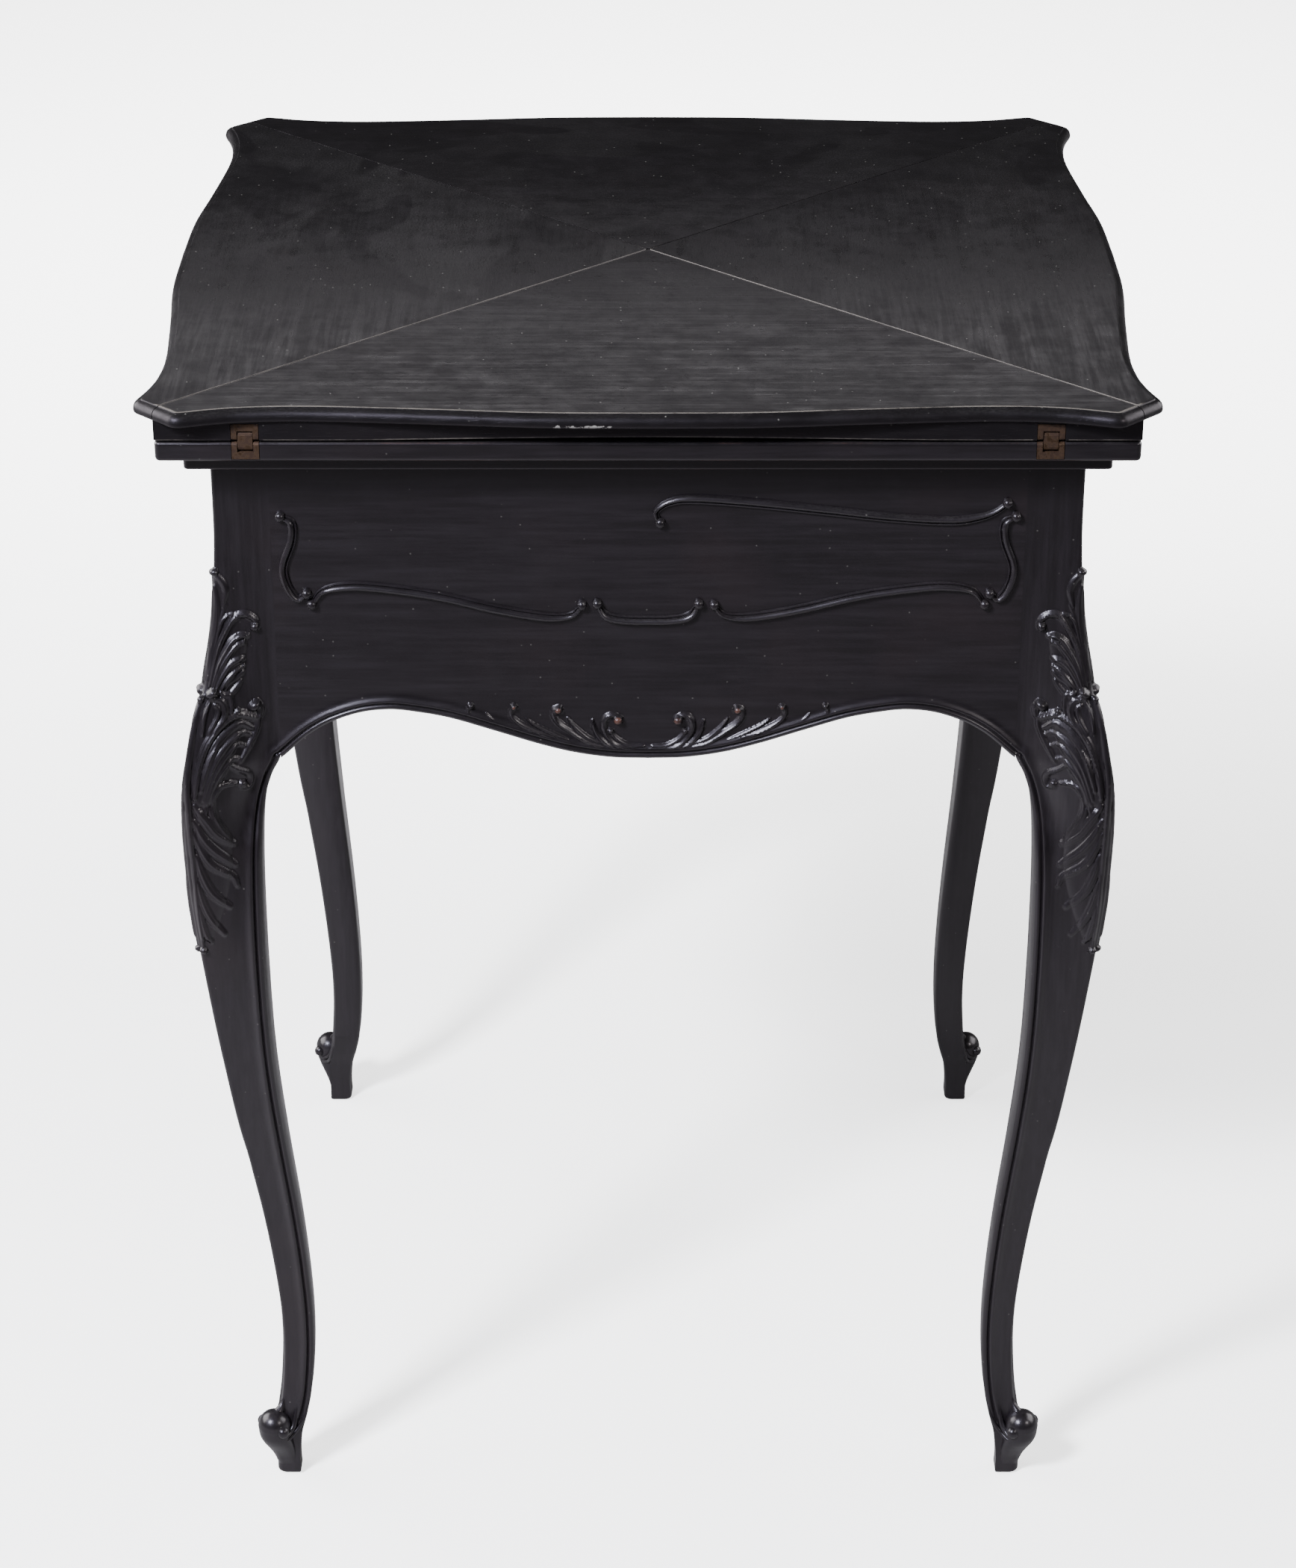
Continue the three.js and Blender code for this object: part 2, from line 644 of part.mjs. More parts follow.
function pegGeometry() {
  return round(PEG_RADIUS, BOARD_BOTTOM, FRAME_TOP + PEG_RISE).translate(0, -PEG_DISTANCE, 0);
}

// Glue block behind a leg post, for the back right corner
function cornerBlockGeometry() {
  const edge = APRON_INNER - FIT_GAP;
  const notch = POST_INNER - FIT_GAP;
  const outline = [
    vec2(edge, edge - BLOCK_REACH),
    vec2(edge, notch),
    vec2(notch, notch),
    vec2(notch, edge),
    vec2(edge - BLOCK_REACH, edge),
  ];
  return slab(outline, BOARD_BOTTOM - BLOCK_HEIGHT, BOARD_BOTTOM);
}

// A ring round a path that lies on a plane facing -Y: the path's place, the way it runs, and an outline
// of distance across the path and height off the plane
function ringAcross(place, way, outline, plane) {
  const ring = outline.map(([across, height]) => {
    return vec3(place.x - across * way.y, plane - height, place.y + across * way.x);
  });
  return ring.reverse();
}

// Lower edge of the apron, from the left end to the right
function apronEdge() {
  const centre = FRAME_TOP - APRON_DEPTH;
  const half = halfShares(APRON_EDGE_STEPS, 1).map((share) => {
    return vec2(APRON_HALF * share, centre + ARCH_RISE * alongTable(APRON_EDGE_SHARES, share));
  });
  return [...half.slice(1).reverse().map((p) => vec2(-p.x, p.y)), ...half];
}

// Bead along the lower edge of the front apron, sunk a little into its face
function apronBeadGeometry(edge) {
  const shoulder = BEAD_WIDTH * BEAD_SHOULDER_SHARE;
  const outline = [
    [0, -BEAD_RELIEF],
    [shoulder, BEAD_RELIEF],
    [BEAD_WIDTH - shoulder, BEAD_RELIEF],
    [BEAD_WIDTH, -BEAD_RELIEF],
  ];
  const rings = edge.map((point, i) => {
    const before = edge[Math.max(i - 1, 0)];
    const after = edge[Math.min(i + 1, edge.length - 1)];
    const way = after.clone().sub(before).normalize();
    return ringAcross(point, way, outline, -FRAME_HALF);
  });
  return loft(rings);
}

// One applied scroll: a half-round bar along a curve, swelling in its middle, with a ball at each end
function scrollGeometry(shares, mirrored, sunk) {
  const low = FRAME_TOP - SCROLL_FRAME_DROP - SCROLL_FRAME_HEIGHT;
  const points = shares.map(([across, up]) => vec3(SCROLL_FRAME_HALF * across, low + SCROLL_FRAME_HEIGHT * up, 0));
  const path = new THREE.CatmullRomCurve3(points, false, "centripetal");
  const length = path.getLength();
  const ball = SCROLL_BALL_RADIUS;
  const stations = [
    [0, ball / 2],
    [ball / 2, ball],
    [(ball * 3) / 2, ball],
    [2 * ball, ball * SCROLL_NECK_SHARE],
  ];
  const tail = stations.map(([place, radius]) => [length - place, radius]).reverse();
  const body = [];
  for (let step = 1; step < SCROLL_STEPS; step++) {
    const share = step / SCROLL_STEPS;
    const swell = smooth(0, SCROLL_SWELL_SHARE, Math.min(share, 1 - share));
    const neck = ball * SCROLL_NECK_SHARE;
    const place = 2 * ball + (length - 4 * ball) * share;
    body.push([place, neck + (SCROLL_WIDTH / 2 - neck) * swell]);
  }
  const rings = [...stations, ...body, ...tail].map(([place, radius]) => {
    const at = path.getPointAt(place / length);
    const way = path.getTangentAt(place / length);
    const height = (radius / ball) * SCROLL_RELIEF;
    const crest = radius * SCROLL_CREST_SHARE;
    const outline = [
      [-radius, -sunk],
      [-crest, height],
      [crest, height],
      [radius, -sunk],
    ];
    const ring = ringAcross(vec2(at.x, at.y), vec2(way.x, way.y), outline, -FRAME_HALF);
    return mirrored ? ring.map((p) => vec3(-p.x, p.y, p.z)).reverse() : ring;
  });
  return loft(rings);
}

// Scrolls of one apron by name: [outline, mirrored]
const SCROLLS = {
  upper_left: [UPPER_SCROLL_SHARES, true],
  upper_right: [UPPER_SCROLL_SHARES, false],
  lower_left: [LOWER_SCROLL_SHARES, true],
  lower_centre: [CENTRE_SCROLL_SHARES, false],
  lower_right: [LOWER_SCROLL_SHARES, false],
  end_left: [END_SCROLL_SHARES, true],
  end_right: [END_SCROLL_SHARES, false],
};
const LOST_SCROLL = "upper_left";

// Apron of the front side, tenoned at both ends, with or without its scrolls
function apronGeometry(withScrolls) {
  const edge = apronEdge();
  const outline = [...edge, vec2(APRON_HALF, FRAME_TOP), vec2(-APRON_HALF, FRAME_TOP)];
  const board = slab(outline, 0, APRON_THICKNESS).rotateX(QUARTER_TURN).translate(0, -APRON_INNER, 0);
  const ends = block(
    vec3(-APRON_HALF, -FRAME_HALF - BEAD_WIDTH, FRAME_TOP - 2 * APRON_DEPTH),
    vec3(APRON_HALF, -APRON_INNER + CUT_OVERRUN, FRAME_TOP + CUT_OVERRUN),
  );
  let apron = join(board, apronBeadGeometry(edge)).intersect(solidOf(ends));
  const middle = (FRAME_HALF + APRON_INNER) / 2;
  const reach = POST_INNER + TENON_LENGTH - FIT_GAP;
  const tenon = block(
    vec3(-reach, -middle - TENON_THICKNESS / 2, FRAME_TOP - TENON_FROM_TOP - TENON_HEIGHT),
    vec3(reach, -middle + TENON_THICKNESS / 2, FRAME_TOP - TENON_FROM_TOP),
  );
  apron = apron.add(solidOf(tenon));
  if (withScrolls) {
    for (const [shares, mirrored] of Object.values(SCROLLS)) {
      apron = apron.add(solidOf(scrollGeometry(shares, mirrored, SCROLL_GLUE_DEPTH)));
    }
  }
  return geometryOf(apron);
}

// Section of the back right leg at a level: a square with a softened outer corner, a bead along both
// inner edges, and faces that come forward from the apron's plane to the knee
function legRing(height, outerShare, innerShare) {
  const up = height / FRAME_TOP;
  const outer = FRAME_HALF + (outerShare > 0 ? KNEE_REACH : ANKLE_DRAW) * outerShare;
  const inner = POST_INNER + INNER_DRAW * innerShare;
  const blend = Math.sin(QUARTER_TURN * (1 - within(KNEE_BLEND_SHARES[0], KNEE_BLEND_SHARES[1], up)));
  const face = FRAME_HALF + (outer - FRAME_HALF) * blend;
  const [beadLow, beadFull, beadEnd, beadTop] = LEG_BEAD_SHARES;
  const bead = BEAD_RELIEF * smooth(beadLow, beadFull, up) * (1 - smooth(beadEnd, beadTop, up));
  const shoulder = BEAD_WIDTH * BEAD_SHOULDER_SHARE;
  const middle = inner + (outer - inner) * FACE_MIDDLE_SHARE;
  const [footLow, footHigh] = FOOT_ROUNDING_SHARES;
  const arris = ARRIS_RADIUS + FOOT_ROUNDING * (1 - smooth(footLow, footHigh, up));
  const side = [
    [inner, face - BEAD_RELIEF],
    [inner + shoulder, face - BEAD_RELIEF + bead],
    [inner + BEAD_WIDTH - shoulder, face - BEAD_RELIEF + bead],
    [inner + BEAD_WIDTH, face - bead / 2],
    [middle, face + (outer - face) * smooth(inner, outer, middle)],
    [outer - arris, outer],
  ];
  const ring = [
    vec3(inner + LEG_INNER_RADIUS, inner, height),
    ...side.map(([along, depth]) => vec3(depth, along, height)),
    ...side.reverse().map(([along, depth]) => vec3(along, depth, height)),
    vec3(inner, inner + LEG_INNER_RADIUS, height),
  ];
  return ring;
}

// The scroll ball of the toe and its taper into the foot, on the corner of the back right leg
function toeGeometry() {
  const centre = FRAME_HALF - TOE_INSET;
  const rings = TOE_SHARES.map(([up, spread, draw]) => {
    const ring = [];
    for (let i = 0; i < TOE_SIDES; i++) {
      const angle = (i / TOE_SIDES) * 2 * Math.PI;
      const radius = TOE_RADIUS * spread;
      const axis = centre - TOE_RADIUS * draw;
      ring.push(vec3(axis + radius * Math.cos(angle), axis + radius * Math.sin(angle), TOE_HEIGHT + TOE_RADIUS * up));
    }
    return ring;
  });
  return loft(rings.reverse());
}

// The lesser ball where the bead ends, on one face of the back right leg or the other
function voluteGeometry(onSide) {
  const ball = new THREE.SphereGeometry(VOLUTE_RADIUS, TOE_SIDES, TOE_SIDES / 2);
  const along = FRAME_HALF - VOLUTE_INSET;
  const depth = FRAME_HALF - VOLUTE_SINK;
  return onSide ? ball.translate(depth, along, VOLUTE_HEIGHT) : ball.translate(along, depth, VOLUTE_HEIGHT);
}

// Mortises for the tenons of the two aprons that meet the post
function mortiseGeometry(onSide) {
  const middle = (FRAME_HALF + APRON_INNER) / 2;
  const half = TENON_THICKNESS / 2 + FIT_GAP;
  const low = FRAME_TOP - TENON_FROM_TOP - TENON_HEIGHT - FIT_GAP;
  const high = FRAME_TOP - TENON_FROM_TOP + FIT_GAP;
  const near = POST_INNER - CUT_OVERRUN;
  const far = POST_INNER + TENON_LENGTH;
  return onSide
    ? block(vec3(middle - half, near, low), vec3(middle + half, far, high))
    : block(vec3(near, middle - half, low), vec3(far, middle + half, high));
}

// Cabriole leg of the back right corner
function legGeometry() {
  const curve = new THREE.CatmullRomCurve3(LEG_SHARES.map(([up, outer, inner]) => vec3(up, outer, inner)));
  const rings = [];
  for (let level = 0; level <= LEG_LEVELS; level++) {
    const at = curve.getPoint(level / LEG_LEVELS);
    rings.push(legRing(FRAME_TOP * at.x, at.y, at.z));
  }
  const leg = join(loft(rings), toeGeometry(), voluteGeometry(true), voluteGeometry(false));
  return geometryOf(cut(leg, [mortiseGeometry(true), mortiseGeometry(false)]));
}

// A named piece with its own material
function addPiece(group, name, geometry, finish) {
  const piece = new THREE.Mesh(geometry, new THREE.MeshStandardMaterial(finish));
  piece.geometry.computeVertexNormals();
  piece.name = name;
  group.add(piece);
  return piece;
}

// Frame: legs, aprons, scrolls, board, blocks and peg
function buildFrame() {
  const frame = new THREE.Group();
  const leg = legGeometry();
  const cornerBlock = cornerBlockGeometry();
  ["back_right", "back_left", "front_left", "front_right"].forEach((corner, turn) => {
    addPiece(frame, `leg_${corner}`, leg, EBONISED).rotation.z = turn * QUARTER_TURN;
    addPiece(frame, `corner_block_${corner}`, cornerBlock, STAINED_PINE).rotation.z = turn * QUARTER_TURN;
  });
  const scrolledApron = apronGeometry(true);
  SIDES.forEach((side, turn) => {
    const geometry = side === "front" ? apronGeometry(false) : scrolledApron;
    addPiece(frame, `apron_${side}`, geometry, EBONISED).rotation.z = turn * QUARTER_TURN;
  });
  for (const [name, [shares, mirrored]] of Object.entries(SCROLLS)) {
    if (name !== LOST_SCROLL) addPiece(frame, `scroll_${name}`, scrollGeometry(shares, mirrored, 0), EBONISED);
  }
  addPiece(frame, "frame_board", frameBoardGeometry(), STAINED_PINE);
  addPiece(frame, "stop_peg", pegGeometry(), DARK_STEEL);
  return frame;
}

// Swivelling top without its leaves: bed, baize, sub-board and pivot
function buildTop() {
  const top = new THREE.Group();
  addPiece(top, "bed", bedGeometry(), EBONISED);
  addPiece(top, "bed_baize", bedBaizeGeometry(), BAIZE);
  addPiece(top, "sub_board", subBoardGeometry(), EBONISED);
  addPiece(top, "pivot_bolt", boltGeometry(), DARK_STEEL);
  const washerTop = BOARD_BOTTOM - FIT_GAP;
  const nutTop = washerTop - WASHER_THICKNESS;
  addPiece(top, "pivot_washer", ringGeometry(WASHER_RADIUS, nutTop, washerTop, ROUND_SIDES), DARK_STEEL);
  addPiece(top, "pivot_nut", ringGeometry(NUT_RADIUS, nutTop - NUT_THICKNESS, nutTop, NUT_SIDES), DARK_STEEL);
  return top;
}

// One side of the top: its leaf and baize, and the two hinges that carry it
function buildSide(side, turn, shared) {
  const group = new THREE.Group();
  group.rotation.z = turn * QUARTER_TURN;
  addPiece(group, `leaf_${side}`, shared.leaf, EBONISED);
  addPiece(group, `leaf_baize_${side}`, shared.baize, BAIZE);
  HINGE_PLACES.forEach((place, hand) => {
    const tag = `${side}_${["a", "b"][hand]}`;
    const bedPlate = addPiece(group, `hinge_bed_plate_${tag}`, shared.plate, OLD_BRASS);
    bedPlate.position.set(place, -BED_HALF, BED_TOP);
    const leafPlate = addPiece(group, `hinge_leaf_plate_${tag}`, shared.plate, OLD_BRASS);
    leafPlate.position.set(place, -BED_HALF, LEAF_BOTTOM);
    leafPlate.rotation.y = Math.PI;
    const link = addPiece(group, `hinge_link_${tag}`, shared.link, OLD_BRASS);
    link.position.set(place, -(BED_HALF - PIN_DEPTH), BED_TOP - PIN_DEPTH);
  });
  return group;
}

const table = new THREE.Group();
table.add(buildFrame(), buildTop());
const shared = {
  leaf: leafGeometry(),
  baize: leafBaizeGeometry(),
  plate: hingePlateGeometry(),
  link: hingeLinkGeometry(),
};
SIDES.forEach((side, turn) => table.add(buildSide(side, turn, shared)));

export default table;
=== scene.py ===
"""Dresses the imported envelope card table: fine meshes, finishes and a studio stage.

Sizes are in millimetres until a mesh is made, and every piece keeps its place in its mesh.
"""

import math

import bmesh
import bpy
import numpy as np
from mathutils import Matrix, Vector


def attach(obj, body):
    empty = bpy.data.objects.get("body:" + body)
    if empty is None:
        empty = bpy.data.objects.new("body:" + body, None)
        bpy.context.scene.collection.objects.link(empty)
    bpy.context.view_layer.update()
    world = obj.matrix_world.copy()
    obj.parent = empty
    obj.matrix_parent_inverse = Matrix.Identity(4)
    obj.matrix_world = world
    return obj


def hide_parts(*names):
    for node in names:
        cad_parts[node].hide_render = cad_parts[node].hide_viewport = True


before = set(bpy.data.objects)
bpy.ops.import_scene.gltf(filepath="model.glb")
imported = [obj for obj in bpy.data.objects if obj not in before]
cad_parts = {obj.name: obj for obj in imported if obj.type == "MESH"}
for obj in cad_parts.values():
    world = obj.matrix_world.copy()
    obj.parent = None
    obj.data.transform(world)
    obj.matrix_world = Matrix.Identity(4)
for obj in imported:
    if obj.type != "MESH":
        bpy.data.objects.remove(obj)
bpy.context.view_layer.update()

bl_info = {
    "name": "Envelope card table",
    "version": (1, 0, 0),
    "blender": (4, 5, 0),
    "location": "3D View > Sidebar > Card table",
    "description": "Carved and ebonised pieces of an envelope card table, with its stage",
    "category": "Add Mesh",
}

MM = 0.001
QUARTER = math.pi / 2
SIDES = ("front", "right", "back", "left")
CORNERS = ("back_right", "back_left", "front_left", "front_right")

# Levels, from the top down
MOULDING_LOW = 752.0
LEAF_LOW = 740.0
BED_TOP = 739.0
BED_LOW = 727.3
SUB_LOW = 717.0
FRAME_TOP = 716.7

# Distances from the middle of the table, from the outside in
TOP_HALF = 292.0
BED_HALF = 278.5
SUB_HALF = 264.5
FRAME_HALF = 251.0
APRON_INNER = 231.0
POST_INNER = 218.0
APRON_HALF = 217.7

# Gap round anything let in or laid in
FIT_GAP = 0.3

# Leaves: start and rounding of the cut corner, depth of the edge's neck, seams and arrises, middle
EAR_START = 265.4
EAR_ROUND = 5.0
NECK_DEPTH = 11.0
LEAF_SEAM = 0.6
LEAF_ARRIS = 0.8
SEAM_BEVEL = 0.3
TIP_CUT = 1.2
LEAF_MIDDLE = (0.0, -168.0, 760.0)

# Hinges: places along a side, size of a plate, length of its arm, screws
HINGE_PLACES = (-227.0, 227.0)
PLATE_HALF = 7.75
PLATE_HEIGHT = 10.0
PLATE_DEPTH = 7.5
PLATE_THICKNESS = 2.0
PLATE_ARM = 27.0
SCREW_DISTANCES = (13.0, 22.0)
SCREW_RADIUS = 2.7

# Baize: wood left round it, depth of its recess, thickness
BAIZE_BORDER = 28.0
BAIZE_SEAM_BORDER = 22.0
BAIZE_RECESS = 0.65
BAIZE_THICKNESS = 1.0

# Bed and sub-board: rounding of the corners, the bolt's stepped hole, the stop peg's arc slot
BOARD_CORNER = 3.0
BOLT_RADIUS = 5.3
WASHER_RADIUS = 14.3
WASHER_RECESS = 3.0
SLOT_DISTANCE = 70.0
SLOT_HALF = 4.3
SLOT_DEPTH = 6.0

# Aprons: lowest level, rise of the arch, half width of the carving, width of the edge moulding
APRON_LOW = 527.7
ARCH_RISE = 32.0
CARVED_HALF = 116.0
BEAD_WIDTH = 12.0

# Legs: full reach of the knee, full draw of ankle and inner edge, roundings, taper of the foot
KNEE_REACH = 24.2
ANKLE_DRAW = 15.0
INNER_DRAW = 15.0
INNER_RADIUS = 4.0
ARRIS_RADIUS = 2.2
FOOT_ROUNDING = 3.0
FOOT_EASE = 3.0
FOOT_TAPER = 1.3
# Width of a leg's face that has fine rows for the edge moulding, and points round its inner corner
BEAD_GRID = 9.0
INNER_POINTS = 5

# Along half a side of a leaf, and how much of the neck's depth its edge is drawn in there
LEAF_EDGE = [
    (0, 0), (0.23, 0.09), (0.45, 0.545), (0.66, 0.93), (0.746, 1),
    (0.81, 0.945), (0.867, 0.8), (0.923, 0.53), (0.972, 0.18), (1, 0),
]
# Share of the top's dust on each leaf, partly dust and partly painted shade that darkens the back leaf; how
# far its edges are rubbed and painted pale as highlights; the side of its only such seam
LEAF_WEAR_AND_PAINTED_LIGHT = {"front": (0.5, 1.0, 0), "right": (0.4, 1.0, -1), "back": (0.35, 0.3, 0), "left": (0.75, 1.0, 1)}
# Middle and half length of the pale chips under the front leaf's moulding
CHIP_PLACE = -37.0
CHIP_HALF = 29.0
# Height above the moulding's foot, and how far the edge is drawn in there
LEAF_PROFILE = [
    (0, 1.4), (0.3, 0.7), (0.9, 0.2), (1.8, 0), (2.8, 0.05), (3.9, 0.3), (4.9, 0.7), (5.8, 1.35),
    (6.5, 2.25), (7, 3.3), (7.2, 4.3), (7.32, 4.6), (7.84, 4.95), (7.95, 5.2), (8, 5.6),
]
# Across half an apron, and the rise of its lower edge as a share of the arch
APRON_EDGE = [
    (0, 0), (0.1, 0.02), (0.2, 0.12), (0.3, 0.3), (0.42, 0.57), (0.54, 0.83), (0.63, 0.95),
    (0.7, 1), (0.78, 0.94), (0.86, 0.75), (0.91, 0.55), (0.94, 0.39), (0.97, 0.2), (1, 0.01),
]
# Height up the leg, reach of its outer edge and draw of its inner edge, as shares
LEG_SHARES = [
    (0, -0.4, 0.67), (0.021, -0.43, 0.68), (0.045, -0.51, 0.55), (0.065, -0.7, 0.3),
    (0.084, -0.84, 0.11), (0.112, -0.95, -0.03), (0.14, -1, -0.1), (0.175, -0.95, -0.1),
    (0.223, -0.77, 0), (0.28, -0.47, 0.2), (0.363, 0.074, 0.57), (0.447, 0.42, 0.87),
    (0.53, 0.7, 0.97), (0.614, 0.934, 0.97), (0.67, 1, 0.88), (0.7, 0.985, 0.71),
    (0.722, 0.94, 0.4), (0.74, 0.87, 0.01), (0.781, 0.64, 0), (0.809, 0.38, 0),
    (0.85, 0.17, 0), (0.893, 0.07, 0), (0.94, 0, 0), (1, 0, 0),
]
# Distance from a lower or inner edge, and how far the edge moulding stands off the face there
BEAD_PROFILE = [
    (0, -1.4), (0.4, -0.3), (0.9, 0.5), (1.6, 1.0), (2.3, 1.05), (3.0, 0.6), (3.5, -0.1),
    (3.9, -0.5), (4.3, 0.3), (4.8, 1.2), (5.4, 1.8), (6.1, 1.85), (7.1, 1.35), (8.3, 0.7),
    (9.6, 0.27), (10.8, 0.07), (12.0, 0),
]
# Carving of a knee: half-widths at the start, middle and end, height, and a curve of places, each the
# distance from the leg's corner and the height above the floor
KNEE_STROKES = [
    (1.4, 1.8, 0.8, 1.5, [(0, 648), (3.5, 645), (6.2, 641), (7.5, 636.8), (7, 632.6), (6.1, 627)]),
    (0.8, 2.2, 1.2, 1.3, [(0.8, 640), (2.4, 630), (2.8, 620), (2.3, 610), (1, 598.6), (0, 585)]),
    (0.6, 1.6, 1.0, 1.2, [(8, 628.4), (6.1, 623.4), (4.5, 616.7), (3.2, 606.7), (2.2, 595.4), (1.6, 582.4)]),
    (0.8, 1.3, 0.6, 1.8, [(11.8, 622.6), (8.2, 621.3), (5.5, 617.7), (4, 611), (3, 602)]),
    (1.6, 2.2, 1.0, 2.4, [
        (25.8, 613.5), (25.2, 617.8), (20.8, 621.5), (16.3, 622.1), (12.8, 620.5), (10.5, 617), (7.8, 610.8),
        (5.5, 604), (4.4, 597.1), (3.8, 589.5), (3.5, 580),
    ]),
    (1.4, 2.0, 0.8, 2.1, [
        (21.2, 608.7), (16.7, 609), (12.6, 606.6), (9.6, 601.4), (6.9, 593.9), (5.5, 586.3), (4.7, 579),
    ]),
    (1.0, 1.8, 0.8, 1.9, [
        (19.4, 605.3), (15.9, 604), (12.7, 600.3), (9.7, 595.3), (7.4, 589.7), (6.2, 583.2), (5.6, 578),
    ]),
    (1.5, 1.9, 0.8, 1.9, [(20, 595), (15.4, 593.9), (11.7, 590.8), (9.7, 586.4), (8.4, 582.3), (7.4, 577.5)]),
    (1.0, 1.6, 0.8, 1.8, [(20.8, 590.2), (18, 588), (14.7, 585.1), (12.2, 581.5), (10.6, 577.9)]),
    (1.4, 1.8, 0.8, 1.7, [(20.8, 586.2), (17.9, 583.1), (14.6, 580), (13, 576.5)]),
    (1.2, 1.7, 0.9, 1.6, [(20.8, 581.5), (19, 577.4), (16, 572.9), (12, 571)]),
    (1.2, 1.5, 1.0, 2.0, [(10.8, 575.7), (13.3, 573.5), (15.5, 573.8), (17.9, 570.6), (20.3, 564.9)]),
    (1.2, 2.0, 1.2, 2.3, [
        (6, 572.5), (8.9, 571.5), (12.5, 570.6), (15.9, 566.6), (17.3, 561.8), (16.2, 557.5), (13.9, 554.1),
        (11.5, 548),
    ]),
    (0.8, 1.4, 0.8, 1.8, [(9.5, 568.5), (12.2, 566.5), (13.2, 562), (12.2, 557.5), (10, 552)]),
    (0.8, 1.2, 0.8, 1.8, [(6, 571.5), (5.6, 565), (5.8, 558), (6.6, 551)]),
    (1.2, 1.2, 0.7, 1.6, [(20.5, 562.5), (19.2, 567.3), (15.6, 571.1)]),
    (1.6, 1.7, 1.0, 2.0, [
        (0, 571.5), (0.2, 563.8), (0.6, 552.7), (0.9, 538), (1.6, 521.3), (3, 503.9), (3.9, 485.9),
        (4.2, 467.4), (3.9, 448.7), (3.4, 429.5), (3, 409.5),
    ]),
    (2.0, 2.4, 1.3, 2.4, [
        (34, 566), (37.5, 561.6), (37, 556.6), (32, 558.4), (26, 560.3), (19.9, 558.3), (14.3, 553.2),
        (10.2, 545.7), (7.9, 535.9), (6.6, 524.3), (6, 512.4),
    ]),
    (1.3, 2.2, 1.0, 2.0, [
        (34.6, 550), (27, 554.8), (21.4, 551.9), (16.6, 546.4), (13.1, 538.3), (11.2, 528.6), (9.6, 517),
    ]),
    (0.8, 2.1, 0.9, 1.8, [
        (35, 545.9), (29.6, 548.5), (24.7, 546.4), (19.5, 540.4), (15.8, 532.8), (13.3, 523.2), (11, 511),
    ]),
    (0.7, 2.0, 0.9, 1.7, [
        (33, 539.8), (27.3, 541.9), (22.6, 537.6), (18.6, 531.8), (15.7, 524), (13.4, 513.7), (11.6, 506),
    ]),
    (0.7, 2.0, 0.9, 1.6, [
        (32.2, 531.8), (26.4, 533.5), (22, 529.3), (18, 523.5), (15.2, 516), (13.2, 507), (12, 500),
    ]),
    (1.2, 1.8, 1.0, 2.0, [(37, 557), (37.6, 551), (36.3, 545), (34, 538.5), (31, 531)]),
    (1.8, 1.6, 1.0, 2.1, [
        (33.5, 514), (36.6, 513.4), (37.5, 518.4), (35.3, 522.7), (29.5, 526.4), (24.4, 530.4),
    ]),
    (1.2, 2.3, 1.1, 2.2, [
        (29.5, 517.5), (24.9, 518.6), (20.3, 517.3), (17.1, 512.9), (16.1, 506.2), (17.5, 498.9),
        (20.7, 491.9), (24.8, 484.8), (28, 478.3),
    ]),
    (1.2, 3.0, 2.0, 2.2, [(6, 508), (12.8, 497.2), (17.8, 488.7), (23.5, 482.8), (27.7, 479.1)]),
    (1.2, 3.1, 2.0, 2.1, [(5.7, 498.4), (10.4, 486.9), (16.2, 477.7), (22.4, 471.1), (28.1, 465.6)]),
    (1.2, 2.8, 1.5, 2.1, [
        (5.7, 489.4), (9.8, 477.1), (14.7, 468), (21.3, 462.3), (26.7, 457.6), (28.5, 451.7),
    ]),
    (1.2, 3.0, 2.0, 2.0, [(6.1, 474.8), (8.5, 462.4), (12.4, 450.8), (17.4, 443.7), (22.4, 438.4)]),
    (1.1, 2.6, 1.8, 1.9, [(5.5, 457.1), (7.1, 443.8), (9.7, 433.5), (13.1, 426), (16.9, 419.7)]),
    (1.0, 2.0, 1.4, 1.7, [(4.9, 440.2), (5.2, 427.5), (6.7, 418.6), (8.5, 414.6)]),
]
# Times the half-widths of crested strokes, so that neighbours meet in a groove
CREST_SPREAD = 1.2
# Swellings of a knee that the strokes lie on, in the same form
KNEE_BODIES = [
    (4, 7.5, 4, 1.5, [(17, 607), (13, 594), (8, 578)]),
    (3, 8, 6, 1.6, [(26, 551), (19, 536), (11, 512)]),
    (5, 10.5, 4, 1.5, [(12, 502), (17, 477), (12, 447), (6, 419)]),
]
# Balls of the knee: distance from the corner, height, radius
KNEE_BALLS = [
    (0.6, 648.4, 2.5), (24.7, 614.2, 2.9), (0.2, 571.8, 2.2), (5.6, 575.2, 3.2), (33.0, 564.6, 3.5),
    (33.0, 516.2, 2.3), (3.0, 408.6, 2.4), (24.1, 562.7, 1.7),
]
